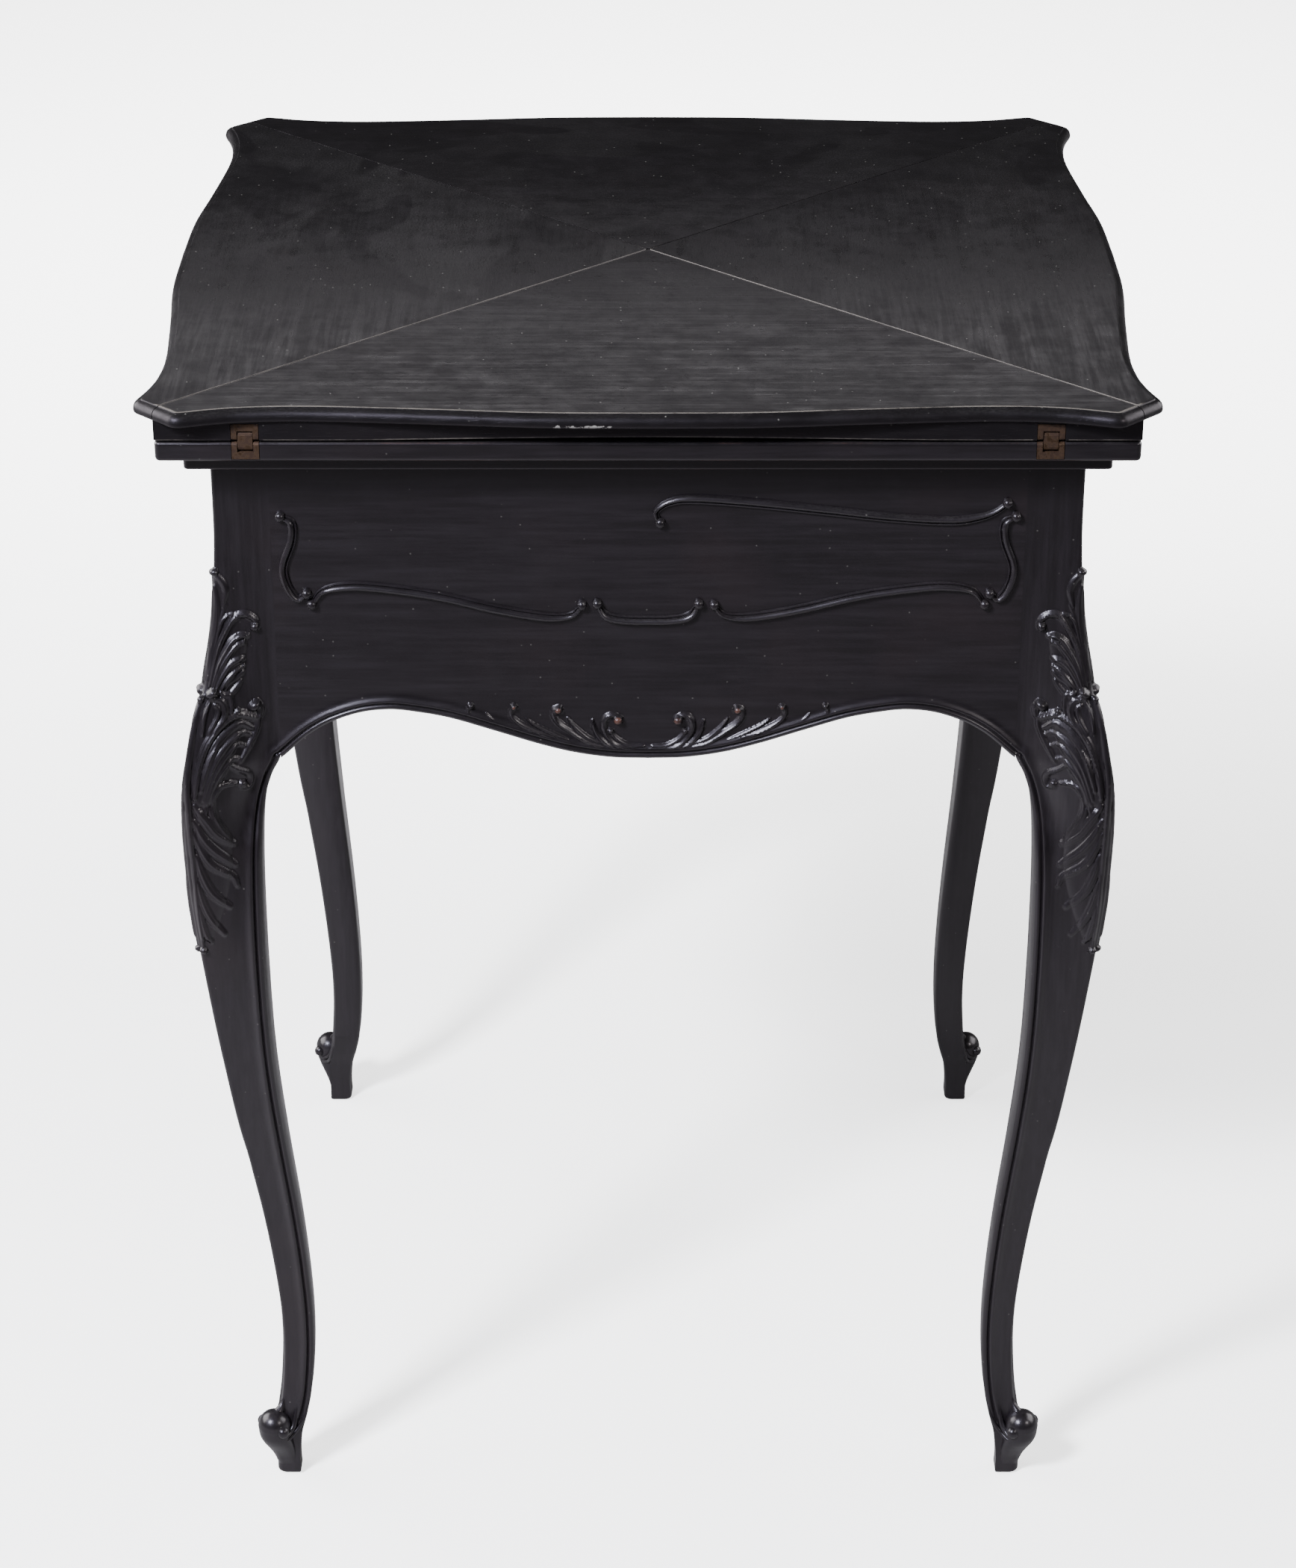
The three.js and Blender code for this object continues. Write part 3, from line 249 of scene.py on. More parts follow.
# Carving of the middle of an apron, right half, with places across and above the apron's lowest point
CENTRE_STROKES = [
    (1.0, 1.9, 1.5, 2.3, [
        (2, 14), (22, 13.6), (40, 18), (52, 26.5), (60, 38), (61.5, 50), (56, 58.5), (47, 60), (41, 57),
    ]),
    (0.8, 1.5, 1.1, 1.8, [(6, 18), (26, 18.8), (40, 25), (48, 32), (52, 37.5)]),
    (0.8, 1.8, 0.7, 2.0, [(26, 11), (48, 16), (65, 27), (74, 40), (77.5, 53)]),
    (0.9, 2.0, 1.4, 2.3, [
        (38, 9.5), (64, 15.5), (87, 25.5), (106, 37.5), (122, 48), (130.5, 58.5), (130, 67.5), (123, 71.5),
    ]),
    (0.7, 1.6, 0.6, 1.9, [(60, 20), (84, 29), (99, 41), (107, 50), (111, 56)]),
    (0.8, 1.8, 1.2, 2.0, [
        (64, 9.5), (104, 17.5), (135, 29), (158, 38.5), (178, 48.5), (189, 58.5), (190, 67.5), (186, 73),
    ]),
    (0.6, 1.4, 0.5, 1.6, [(112, 27), (138, 37), (158, 47), (169, 55)]),
    (0.7, 1.6, 1.0, 1.8, [
        (118, 15), (154, 25), (190, 36.5), (222, 46.5), (243, 56), (250, 65.5), (247, 73.5),
    ]),
    (0.5, 1.2, 0.5, 1.4, [(176, 34.5), (200, 44.5), (216, 54), (225, 63)]),
]
CENTRE_BALLS = [(41.5, 54, 3.2), (52, 38.5, 1.9), (124.5, 67.5, 2.7), (186, 71.5, 2.2), (246, 72.5, 1.9)]
# Millimetres to a unit of the two tables above, across and up
CENTRE_SCALE = (0.4255, 0.478)

# Across half a scroll frame and up it: the scrolls of one side
SCROLLS = {
    "upper": [
        (0.034, 0.81), (0.021, 0.89), (0.05, 0.965), (0.11, 1), (0.28, 0.97), (0.5, 0.905), (0.676, 0.85),
        (0.85, 0.825), (0.93, 0.86), (0.97, 0.91), (0.995, 0.97),
    ],
    "lower": [
        (0.185, 0.13), (0.212, 0.045), (0.279, 0.027), (0.418, 0.09), (0.59, 0.205), (0.745, 0.27),
        (0.834, 0.285), (0.909, 0.245), (0.942, 0.135),
    ],
    "end": [
        (1.02, 0.86), (0.99, 0.81), (0.99, 0.67), (1.017, 0.44), (1.007, 0.28), (0.98, 0.18), (0.955, 0.225),
    ],
    "centre": [
        (-0.142, 0.14), (-0.118, 0.04), (-0.07, 0.005), (0, 0), (0.07, 0.005), (0.118, 0.04), (0.142, 0.14),
    ],
}
SCROLL_HALF = 208.0
SCROLL_LOW = 617.7
SCROLL_HEIGHT = 76.0
# Across a scroll from its outer side to its inner, and height: a roll with a fine reed beside it
SCROLL_PROFILE = [
    (-2.95, -0.4), (-2.9, 0.7), (-2.55, 1.8), (-1.8, 2.8), (-0.75, 3.2), (0.3, 2.85), (0.95, 1.9),
    (1.25, 1.0), (1.5, 1.35), (1.95, 1.75), (2.45, 1.6), (2.85, 0.9), (2.95, -0.4),
]
TOE_RADIUS = 10.5
TOE_CENTRE = 244.1
TOE_HEIGHT = 40.0
# Height above the floor, and how far the ball's circle has become the foot's outline there
TOE_FLOW = [
    (5, 1), (8, 0.985), (11.5, 0.93), (15, 0.84), (18.5, 0.71), (22, 0.55), (25.5, 0.37), (29, 0.2),
    (33, 0.07), (40, 0),
]
# Lesser ball of the toe on one face: distance along the face, distance out, height and radius
TOE_BALL = (237.8, 251.5, 38.9, 4.1)
# Rolls on the toe, each a tube: distance along the face, distance out, height and radius at its places
TOE_ROLLS = [
    [
        (222.6, 237.6, 58, 0.5), (222.9, 239.9, 50, 1.0), (224.6, 241.6, 43.5, 1.2),
        (227.8, 243.2, 37.5, 1.3), (231.2, 244.8, 33.8, 1.5), (233.6, 247.2, 32, 1.4), (236, 249.3, 31, 1.1),
        (240.5, 250.2, 31, 0.8), (244.5, 250, 32, 0.3),
    ],
    [
        (230, 237.4, 56, 0.5), (229.8, 239.9, 49, 1.2), (230.4, 241.8, 43, 1.7), (231.6, 243.6, 38.8, 1.9),
        (233.4, 246.2, 36, 1.7), (235.4, 249.3, 34.4, 1.2), (237.5, 250.3, 34, 0.6),
    ],
]
# Ridge from the leg's corner to the top of the toe, the same out both ways
TOE_RIDGE = [
    (236.6, 236.6, 64, 0.5), (237.2, 237.2, 58, 0.9), (238.9, 238.9, 52, 2.0), (242.5, 242.5, 46, 4.0),
]

# The stage: half width of the floor in metres, and strength of the backdrop as the camera sees it
FLOOR_HALF = 9.0
BACKDROP_STRENGTH = 5.0
# Soft lamps: place and target in metres, width and height in metres, share of the lamp power, colour
LAMPS = (
    ("key_lamp", (-1.5, -1.9, 2.3), (0, 0, 0.6), (0.9, 0.9), 0.95, (0.82, 0.86, 1.0)),
    ("front_lamp", (1.7, -1.7, 1.7), (0, 0, 0.5), (0.5, 0.5), 0.1, (1.0, 0.97, 0.94)),
    ("top_lamp", (-0.12, 0.28, 0.963), (-0.1, -0.25, 0.76), (1.0, 0.07), 0.0031, (1.0, 0.98, 1.0)),
    ("left_lamp", (-1.9, 0.4, 1.3), (0.3, 0.1, 0), (2.0, 1.4), 0.5, (1.0, 1.0, 1.0)),
    ("right_lamp", (1.9, 0.4, 1.3), (-0.3, 0.1, 0), (2.0, 1.4), 0.3, (1.0, 1.0, 1.0)),
    ("floor_lamp", (-1.9, -2.2, 3.0), (0, 0, 0), (0.6, 0.6), 3.6, (1.0, 1.0, 1.0)),
    ("background_lamp", (0, 1.7, 2.6), (0, 6.2, 0.4), (2.2, 2.2), 5.0, (1.0, 1.0, 1.0)),
)


# Shapes

def along_table(rows, places):
    """Values at places along rows of (place, value, ...), by cubics whose slope follows their neighbours."""
    rows = np.asarray(rows, float)
    places = np.asarray(places, float)
    x, y = rows[:, 0], rows[:, 1:]
    last = len(x) - 1
    before = np.maximum(np.arange(last + 1) - 1, 0)
    after = np.minimum(np.arange(last + 1) + 1, last)
    slope = (y[after] - y[before]) / (x[after] - x[before])[:, None]
    k = np.clip(np.searchsorted(x, places, side="right"), 1, last)
    reach = (x[k] - x[k - 1])[:, None]
    t = np.clip((places - x[k - 1]) / (x[k] - x[k - 1]), 0, 1)[:, None]
    start = (2 * t**3 - 3 * t**2 + 1) * y[k - 1] + (t**3 - 2 * t**2 + t) * reach * slope[k - 1]
    return start + (3 * t**2 - 2 * t**3) * y[k] + (t**3 - t**2) * reach * slope[k]


def full_turn(count):
    """Evenly spaced angles once round."""
    return np.linspace(0, 2 * math.pi, count, endpoint=False)


def smooth_curve(points, count):
    """Evenly spaced points on a smooth curve through given ones, and the way that it runs at each."""
    points = np.asarray(points, float)
    length = np.concatenate([[0], np.cumsum(np.linalg.norm(np.diff(points, axis=0), axis=1))])
    curve = along_table(np.column_stack([length, points]), np.linspace(0, length[-1], count))
    way = np.gradient(curve, axis=0)
    return curve, way / np.linalg.norm(way, axis=1)[:, None]


def on_circle(angle):
    """Points of the unit circle at angles."""
    return np.column_stack([np.cos(angle), np.sin(angle)])


def smoothstep(low, high, value):
    """A smooth step from 0 to 1 between two places: with t from 0 to 1, three t squared less two t cubed."""
    t = np.clip((value - low) / (high - low), 0, 1)
    return t * t * (3 - 2 * t)


def ring_at(outline, level):
    """An outline in plan as a ring at a level."""
    return np.column_stack([outline, np.full(len(outline), level)])


def nearest_on(curve, places):
    """Distance from each place to a polyline, and how far along it the nearest point lies, from 0 to 1."""
    best = np.full(len(places), np.inf)
    share = np.zeros(len(places))
    count = len(curve) - 1
    for k in range(count):
        start, step = curve[k], curve[k + 1] - curve[k]
        t = np.clip((places - start) @ step / (step @ step), 0, 1)
        gap = np.linalg.norm(places - start - t[:, None] * step, axis=1)
        closer = gap < best
        best[closer] = gap[closer]
        share[closer] = (k + t[closer]) / count
    return best, share


def stroke_heights(places, strokes, crested):
    """Height of carved strokes at places on a plane.

    A stroke is a ridge along a smooth curve. With q as the distance from the curve in half-widths, its
    height falls off as 1 - q to the fourth power or, if crested, halfway between an arch and a roof, with
    fine veins along it where it is wide. Its half-width runs from the first width through the second to
    the third, all times the spread. Where strokes meet, the highest wins.
    """
    spread = CREST_SPREAD if crested else 1
    height = np.zeros(len(places))
    for start, middle, end, rise, points in strokes:
        curve, _ = smooth_curve(points, 6 * len(points))
        reach = spread * max(start, middle, end)
        near = np.all((places > curve.min(0) - reach) & (places < curve.max(0) + reach), axis=1)
        if not near.any():
            continue
        gap, share = nearest_on(curve, places[near])
        width = start * (1 - share) ** 2 + 2 * (2 * middle - (start + end) / 2) * share * (1 - share)
        width = (width + end * share**2) * spread
        q = np.clip(gap / width, 0, 1)
        if crested:
            veins = 0.11 * (1 - np.cos(3 * math.pi * q)) * smoothstep(1.9, 2.7, width)
            lift = 0.5 * np.sqrt(1 - q**2) + 0.5 * (1 - q) - veins
        else:
            lift = 1 - q**4
        scale = np.minimum(1, 0.45 + width / (2 * middle * spread))
        height[near] = np.maximum(height[near], rise * lift * scale)
    return height


def painted_ground_shade(carved, body):
    """Mask of painted shade between carved strokes, as deep as a place lies there: where little stands above
    a raised body.
    """
    return 0.4 * smoothstep(0.9, 0.1, carved - body) * smoothstep(0.2, 0.8, body)


def ball_heights(places, balls):
    """Height of half balls on a plane, drawn out by a quarter."""
    height = np.zeros(len(places))
    for across, up, radius in balls:
        gap = np.linalg.norm(places - (across, up), axis=1)
        lift = np.sqrt(np.clip(radius**2 - gap**2, 0, None))
        height = np.maximum(height, lift * 1.25)
    return height


def grid_faces(rows, columns):
    """Quads of a grid of points that follow row by row, each row a ring."""
    row = np.arange(rows - 1)[:, None] * columns
    column = np.arange(columns)[None, :]
    following = (column + 1) % columns
    quads = [row + column, row + following, row + columns + following, row + columns + column]
    return np.stack(quads, -1).reshape(-1, 4)


def loft(rings):
    """A closed shell through rings of as many points each, with a flat face at both ends.

    The sum of the signed volumes of the fans of its faces tells which way they look, and they are
    turned outwards if it is negative.
    """
    rings = np.asarray(rings, float)
    count = rings.shape[1]
    points = rings.reshape(-1, 3)
    quads = grid_faces(len(rings), count)
    last = (len(rings) - 1) * count
    caps = [np.arange(count)[::-1], np.arange(last, last + count)]
    middle = points - points.mean(0)
    a, b, c, d = (middle[quads[:, k]] for k in range(4))
    volume = np.sum(np.cross(a, b) * c) + np.sum(np.cross(a, c) * d)
    for cap in caps:
        edge = middle[cap]
        volume += np.sum(np.cross(edge[0], edge[1:-1]) * edge[2:])
    faces = quads.tolist() + [cap.tolist() for cap in caps]
    return points, faces if volume > 0 else [face[::-1] for face in faces]


def sphere(centre, radius, around=24, down=12):
    """A closed sphere: rings whose radius is the cosine of their latitude."""
    latitude = np.linspace(-0.49, 0.49, down) * math.pi
    ring = on_circle(full_turn(around)) * radius
    rings = [ring_at(ring * math.cos(angle), radius * math.sin(angle)) for angle in latitude]
    return loft(np.asarray(rings) + np.asarray(centre, float))


def merged(*shells):
    """Several shells as one."""
    points, faces, start = [], [], 0
    for shell_points, shell_faces in shells:
        points.append(np.asarray(shell_points, float))
        faces += [[corner + start for corner in face] for face in shell_faces]
        start += len(shell_points)
    return np.concatenate(points), faces


def mirrored(shell):
    """A shell mirrored from right to left, with its faces kept outwards."""
    points, faces = shell
    return points * (-1, 1, 1), [face[::-1] for face in faces]


def prism(outline, low, high, axis):
    """An outline of two coordinates drawn out along the axis between two places."""
    outline = np.asarray(outline, float)
    return loft([np.insert(outline, axis, place, axis=1) for place in (low, high)])


# Pieces

def as_mesh(shell):
    """A mesh in metres from a shell in millimetres."""
    points, faces = shell
    mesh = bpy.data.meshes.new("shape")
    mesh.from_pydata((np.asarray(points) * MM).tolist(), [], faces)
    return mesh


def set_values(mesh, name, values):
    """Keeps one number or one vector for each point of a mesh as an attribute."""
    values = np.asarray(values, np.float32)
    flat = values.ndim == 1
    attribute = mesh.attributes.get(name)
    if attribute is None:
        attribute = mesh.attributes.new(name, "FLOAT" if flat else "FLOAT_VECTOR", "POINT")
    attribute.data.foreach_set("value" if flat else "vector", values.ravel())


def mesh_points(mesh):
    """A mesh's points in millimetres."""
    points = np.empty(len(mesh.vertices) * 3, np.float32)
    mesh.vertices.foreach_get("co", points)
    return points.reshape(-1, 3).astype(float) / MM


def joined(*meshes):
    """One mesh with the points, faces and attributes of several."""
    work = bmesh.new()
    for mesh in meshes:
        work.from_mesh(mesh)
    result = bpy.data.meshes.new("shape")
    work.to_mesh(result)
    work.free()
    return result


def cut_out(mesh, tools):
    """The mesh with closed tool shells taken out of it."""
    body = bpy.data.objects.new("cut_body", mesh)
    tool = bpy.data.objects.new("cut_tool", as_mesh(merged(*tools)))
    for item in (body, tool):
        bpy.context.collection.objects.link(item)
    modifier = body.modifiers.new("Recesses", "BOOLEAN")
    modifier.operation = "DIFFERENCE"
    modifier.solver = "EXACT"
    modifier.object = tool
    graph = bpy.context.evaluated_depsgraph_get()
    result = bpy.data.meshes.new_from_object(body.evaluated_get(graph))
    for item in (body, tool):
        bpy.data.objects.remove(item)
    return result


def add_piece(name, mesh, body, material, nodes=(), quarters=0, grain=(0, 1, 2), crease=38.0):
    """A finished piece from a copy of a mesh, turned by quarter turns, which stands for CAD nodes.

    The grain attribute is the place in metres in the wood's own directions, moved by a step of its own
    on each side so that no two pieces show the same figure.
    """
    mesh = mesh.copy()
    mesh.name = name
    points = mesh_points(mesh) * MM
    set_values(mesh, "grain", points[:, list(grain)] + (0.37 * quarters, 0.11 * quarters, 0.05 * quarters))
    mesh.transform(Matrix.Rotation(quarters * QUARTER, 4, "Z"))
    mesh.shade_smooth()
    mesh.set_sharp_from_angle(angle=math.radians(crease))
    mesh.materials.clear()
    mesh.materials.append(material_of(material))
    piece = bpy.data.objects.new(name, mesh)
    bpy.context.collection.objects.link(piece)
    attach(piece, body)
    if nodes:
        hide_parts(*nodes)
    return piece


def finish_nodes(starts, material, radius):
    """Gives the CAD nodes whose names start so a material, and eases their edges by modifiers."""
    nodes = [node for name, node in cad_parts.items() if name.startswith(starts)]
    if not nodes:
        raise ValueError(f"No node of the frame is called {starts}")
    for node in nodes:
        node.data.materials.clear()
        node.data.materials.append(material_of(material))
        weld = node.modifiers.new("Weld", "WELD")
        weld.merge_threshold = 1e-6
        bevel = node.modifiers.new("Eased edges", "BEVEL")
        bevel.width = radius * MM
        bevel.segments = 2
        bevel.limit_method = "ANGLE"
        bevel.angle_limit = math.radians(35)
        bevel.harden_normals = True


# Leaves

def leaf_outline(inset, seam_inset, moulded):
    """Plan outline of the front leaf at one level.

    The right half runs from the middle of the side along the shaped edge, round the tip of the ear, down
    the cut corner to the seam and along the seam to the centre. The moulded outline is the shaped edge
    moved in by the inset along its normals. The straight one has the same points on a straight edge.
    """
    share = 1 - (1 - np.linspace(0, 1, 72)) ** 1.45
    edge = np.column_stack([EAR_START * share, TOP_HALF - NECK_DEPTH * along_table(LEAF_EDGE, share)[:, 0]])
    tip = edge[-1]
    along_cut = np.array([1, -1]) / math.sqrt(2)
    t = np.linspace(0, 1, 7)[:, None]
    edge = edge[edge[:, 0] < tip[0] - EAR_ROUND]
    round_tip = (1 - t) ** 2 * edge[-1] + 2 * t * (1 - t) * tip + t**2 * (tip + EAR_ROUND * along_cut)
    edge = np.concatenate([edge[:-1], round_tip])
    seam = (LEAF_SEAM + 2 * seam_inset) / math.sqrt(2)
    reach = TOP_HALF + EAR_START - inset * math.sqrt(2)
    corner = np.array([(reach - seam) / 2, (reach + seam) / 2])
    outer_seam = LEAF_SEAM / math.sqrt(2)
    outer = np.array([TOP_HALF + EAR_START - outer_seam, TOP_HALF + EAR_START + outer_seam]) / 2
    if moulded:
        before = np.vstack([edge[1] * (-1, 1), edge[:-1]])
        after = np.vstack([edge[1:], outer])
        way = after - before
        way /= np.linalg.norm(way, axis=1)[:, None]
        half = edge + inset * np.column_stack([way[:, 1], -way[:, 0]])
    else:
        line = BED_HALF - inset
        half = np.column_stack([edge[:, 0] * (line - seam) / outer[0], np.full(len(edge), line)])
        corner = np.array([line - seam, line])
    cut = TIP_CUT + seam_inset
    along_seam = np.linspace(0, 1, 13)[1:, None]
    seam_line = corner + along_seam * (np.array([cut - seam, cut]) - corner)
    right = np.vstack([half, corner, seam_line])
    left = right[:0:-1] * (-1, 1)
    return np.concatenate([right, left]) * (1, -1)


def lower_layer(bow):
    """Rings of the front leaf's straight layer from the underside up, and how worn each point is: the lower
    arris, painted pale as wear and as a painted highlight line.

    A small arris runs round below. The outer edge is lifted by the bow in the middle of the side, as the
    square of a cosine.
    """
    rings, wear = [ring_at(leaf_outline(16, 1.5, False), LEAF_LOW)], [0]
    for angle in np.linspace(0, QUARTER, 4):
        draw = LEAF_ARRIS * (1 - math.sin(angle))
        rings.append(ring_at(leaf_outline(draw, draw, False), LEAF_LOW + LEAF_ARRIS * (1 - math.cos(angle))))
        wear.append(0.85)
    for level in (LEAF_LOW + 2.4, MOULDING_LOW):
        rings.append(ring_at(leaf_outline(0, 0, False), level))
        wear.append(0)
    rings = np.asarray(rings)
    lift = bow * np.cos(np.clip(rings[..., 0] / 200, -1, 1) * QUARTER) ** 2
    lift *= (rings[..., 2] < MOULDING_LOW - 6) & (rings[..., 1] < -(BED_HALF - 6))
    rings[..., 2] += lift
    return rings, np.repeat(wear, rings.shape[1])


def moulded_layer(rubbing, highlight_seam):
    """Rings of the front leaf's moulded layer up to its crisp arris, and how worn each point is. On the top
    this wear is painted pale: on the arris and seams it is wear and a painted highlight line, and at the
    moulding's lower lip it is a painted highlight line.

    If only one seam is rubbed and painted pale as a highlight, 1 for the right one and -1 for the left one,
    the rest is worn much less.
    """
    rings, wear = [], []
    for rise, draw in LEAF_PROFILE:
        seam_draw = SEAM_BEVEL * rubbing * smoothstep(7.5, 8, rise)
        rings.append(ring_at(leaf_outline(draw, seam_draw, True), MOULDING_LOW + rise))
        # Wear and a painted highlight on the arris and seams, and a painted highlight line at the moulding's
        # lower lip
        wear.append(rubbing if rise > 7.8 else 0.85 * math.exp(-((rise - 0.4) / 0.5) ** 2))
    arris = rings[-1]
    for share, worn in ((0.008, 0.35), (0.02, 0)):
        rings.append(arris + share * (LEAF_MIDDLE - arris))
        wear.append(worn)
    rings = np.asarray(rings)
    wear = np.repeat(wear, rings.shape[1])
    if highlight_seam:
        wear *= np.where(rings[..., 1] + highlight_seam * rings[..., 0] > -3, 1, 0.3).ravel()
    return rings, wear


def chip_values(points):
    """How far points of the front leaf lie in the pale chips under its moulding."""
    chip = smoothstep(CHIP_HALF, 0.6 * CHIP_HALF, np.abs(points[:, 0] - CHIP_PLACE))
    chip *= smoothstep(MOULDING_LOW + 5, MOULDING_LOW + 1.5, points[:, 2])
    return chip * (points[:, 2] > MOULDING_LOW - 1) * (points[:, 1] < -BED_HALF)


def hinge_recess(place, level, way):
    """Tool for a hinge plate let into a front edge: an L of plate and arm, drawn out across the plate."""
    edge, out = BED_HALF, BED_HALF + 1
    deep, arm = edge - PLATE_DEPTH - FIT_GAP, edge - PLATE_ARM - FIT_GAP
    down, thin = way * (PLATE_HEIGHT + FIT_GAP), way * (PLATE_THICKNESS + FIT_GAP)
    outline = [
        (-out, level - way), (-arm, level - way), (-arm, level + thin), (-deep, level + thin),
        (-deep, level + down), (-out, level + down),
    ]
    half = PLATE_HALF + FIT_GAP
    return prism(outline, place - half, place + half, 0)


def leaf_baize_outline(clearance):
    """Plan outline of the baize's recess in the front leaf, drawn in all round by the clearance."""
    outer = BED_HALF - BAIZE_BORDER - clearance
    seam = (BAIZE_SEAM_BORDER + clearance) * math.sqrt(2)
    return [(0, -seam), (seam - outer, -outer), (outer - seam, -outer)]


def square(half):
    """Plan outline of a square about the table's middle."""
    return [(-half, -half), (half, -half), (half, half), (-half, half)]


def leaf_mesh(bow, rubbing, highlight_seam):
    """The front leaf: its straight layer with the hinges' and the baize's recesses, and its moulded layer."""
    rings, wear = lower_layer(bow)
    lower = as_mesh(loft(rings))
    set_values(lower, "wear", wear)
    tools = [hinge_recess(place, LEAF_LOW, 1) for place in HINGE_PLACES]
    tools.append(prism(leaf_baize_outline(0), LEAF_LOW - 1, LEAF_LOW + BAIZE_RECESS, 2))
    rings, wear = moulded_layer(rubbing, highlight_seam)
    upper = as_mesh(loft(rings))
    set_values(upper, "wear", wear)
    return joined(cut_out(lower, tools), upper)


def screw_head(place, level, way, turn):
    """A slotted head: a disc, and two parts of a thicker disc with the slot between them."""
    angle = np.linspace(-1, 1, 15) * math.acos(0.15)
    part = (SCREW_RADIUS + 0.2) * on_circle(angle)
    disc = SCREW_RADIUS * on_circle(full_turn(24))
    spin = np.array([(math.cos(turn), math.sin(turn)), (-math.sin(turn), math.cos(turn))])
    shells = [prism(disc + place, level - 0.2 * way, level + 0.06 * way, 2)]
    for half in (part @ spin, -part @ spin):
        shells.append(prism(half + place, level - 0.2 * way, level + 0.3 * way, 2))
    return merged(*shells)


def hinge_screws(level, way):
    """The screws of the two front hinges on one arm each."""
    shells = []
    for place in HINGE_PLACES:
        for distance in SCREW_DISTANCES:
            shells.append(screw_head((place, distance - BED_HALF), level, way, 0.04 * place + distance))
    return merged(*shells)


# Bed and sub-board

def rounded_square(half, radius, steps=7, along=9):
    """A square with arcs at its corners, in plan, and points along its sides."""
    angle = np.linspace(0, QUARTER, steps)
    arc = on_circle(angle) * radius + (half - radius)
    side = np.linspace(0, 1, along)[1:-1, None] * (arc[0] * (-1, 1) - arc[-1] * (1, 1)) + arc[-1]
    side[:, 1] = half
    turns = [np.concatenate([arc, side])]
    for _ in range(3):
        turns.append(turns[-1][:, ::-1] * (-1, 1))
    return np.concatenate(turns)


def board_mesh(half, low, high, lower, upper, tools):
    """A square board with quarter-round lower and upper edges, with tools taken out of it."""
    rows = [(lower + 1.2, low, 0)]
    for angle in np.linspace(0, QUARTER, 6):
        draw, rise = lower * (1 - math.sin(angle)), lower * (1 - math.cos(angle))
        rows.append((draw, low + rise, 0.8 * math.sin(2 * angle) ** 2 + 0.1))
    rows += [(0, low + lower + 0.6, 0), (0, high - upper - 0.6, 0)]
    for angle in np.linspace(0, QUARTER, 6):
        draw, drop = upper * (1 - math.cos(angle)), upper * (1 - math.sin(angle))
        rows.append((draw, high - drop, 0.8 * math.sin(2 * angle) ** 2))
    rows.append((upper + 1.2, high, 0))
    rings = []
    for inset, level, _ in rows:
        rings.append(ring_at(rounded_square(half - inset, max(BOARD_CORNER - inset, 0.4)), level))
    mesh = as_mesh(loft(rings))
    set_values(mesh, "wear", np.repeat([worn for _, _, worn in rows], len(rings[0])))
    return cut_out(mesh, tools)


def turned(shell, quarters):
    """A shell turned about the table's middle by quarter turns."""
    points, faces = shell
    for _ in range(quarters):
        points = points[:, (1, 0, 2)] * (-1, 1, 1)
    return points, faces


def bed_mesh():
    """The bed, with recesses for the baize and the hinge plates."""
    tools = [prism(square(BED_HALF - BAIZE_BORDER), BED_TOP - BAIZE_RECESS, BED_TOP + 1, 2)]
    for quarters in range(4):
        tools += [turned(hinge_recess(place, BED_TOP, -1), quarters) for place in HINGE_PLACES]
    return board_mesh(BED_HALF, BED_LOW, BED_TOP, 2.5, 1.7, tools)


def sub_board_mesh():
    """The sub-board, with the bolt's stepped hole and the arc slot of the stop peg.

    The slot is an arc about the middle with a half circle at each end.
    """
    circle = on_circle(full_turn(32))
    shoulder = BED_LOW - WASHER_RECESS
    steps = (
        (BOLT_RADIUS, SUB_LOW - 1), (BOLT_RADIUS, shoulder), (WASHER_RADIUS, shoulder),
        (WASHER_RADIUS, BED_LOW + 1),
    )
    hole = loft([ring_at(circle * radius, level) for radius, level in steps])
    start, end = -QUARTER, -1.5 * QUARTER
    arc = on_circle(np.linspace(start, end, 14))
    cap = np.linspace(0, math.pi, 9)[1:-1]
    ends = SLOT_DISTANCE * on_circle([start, end])
    far_cap = ends[1] + SLOT_HALF * on_circle(end - cap)
    near_cap = ends[0] + SLOT_HALF * on_circle(start + math.pi - cap)
    outer, inner = (SLOT_DISTANCE + SLOT_HALF) * arc, (SLOT_DISTANCE - SLOT_HALF) * arc[::-1]
    outline = np.concatenate([outer, far_cap, inner, near_cap])
    slot = prism(outline, SUB_LOW - 1, SUB_LOW + SLOT_DEPTH, 2)
    return board_mesh(SUB_HALF, SUB_LOW, BED_LOW, 1.2, 0.8, [hole, slot])


# Aprons

def apron_edge(across):
    """Height of the apron's lower edge at a distance across it."""
    share = np.clip(np.abs(across) / APRON_HALF, 0, 1)
    return APRON_LOW + ARCH_RISE * along_table(APRON_EDGE, share)[:, 0]


def leg_reaches(level):
    """Reach of the leg's outer edge, its inner edge and its face plane at each level."""
    up = np.asarray(level, float) / FRAME_TOP
    outer_share, inner_share = along_table(LEG_SHARES, up).T
    outer = FRAME_HALF + np.where(outer_share > 0, KNEE_REACH, ANKLE_DRAW) * outer_share
    inner = POST_INNER + INNER_DRAW * inner_share
    outer = outer - FOOT_TAPER * smoothstep(30, 6, level)
    blend = np.sin(QUARTER * (1 - np.clip((up - 0.47) / (0.765 - 0.47), 0, 1)))
    return outer, inner, FRAME_HALF + (outer - FRAME_HALF) * blend


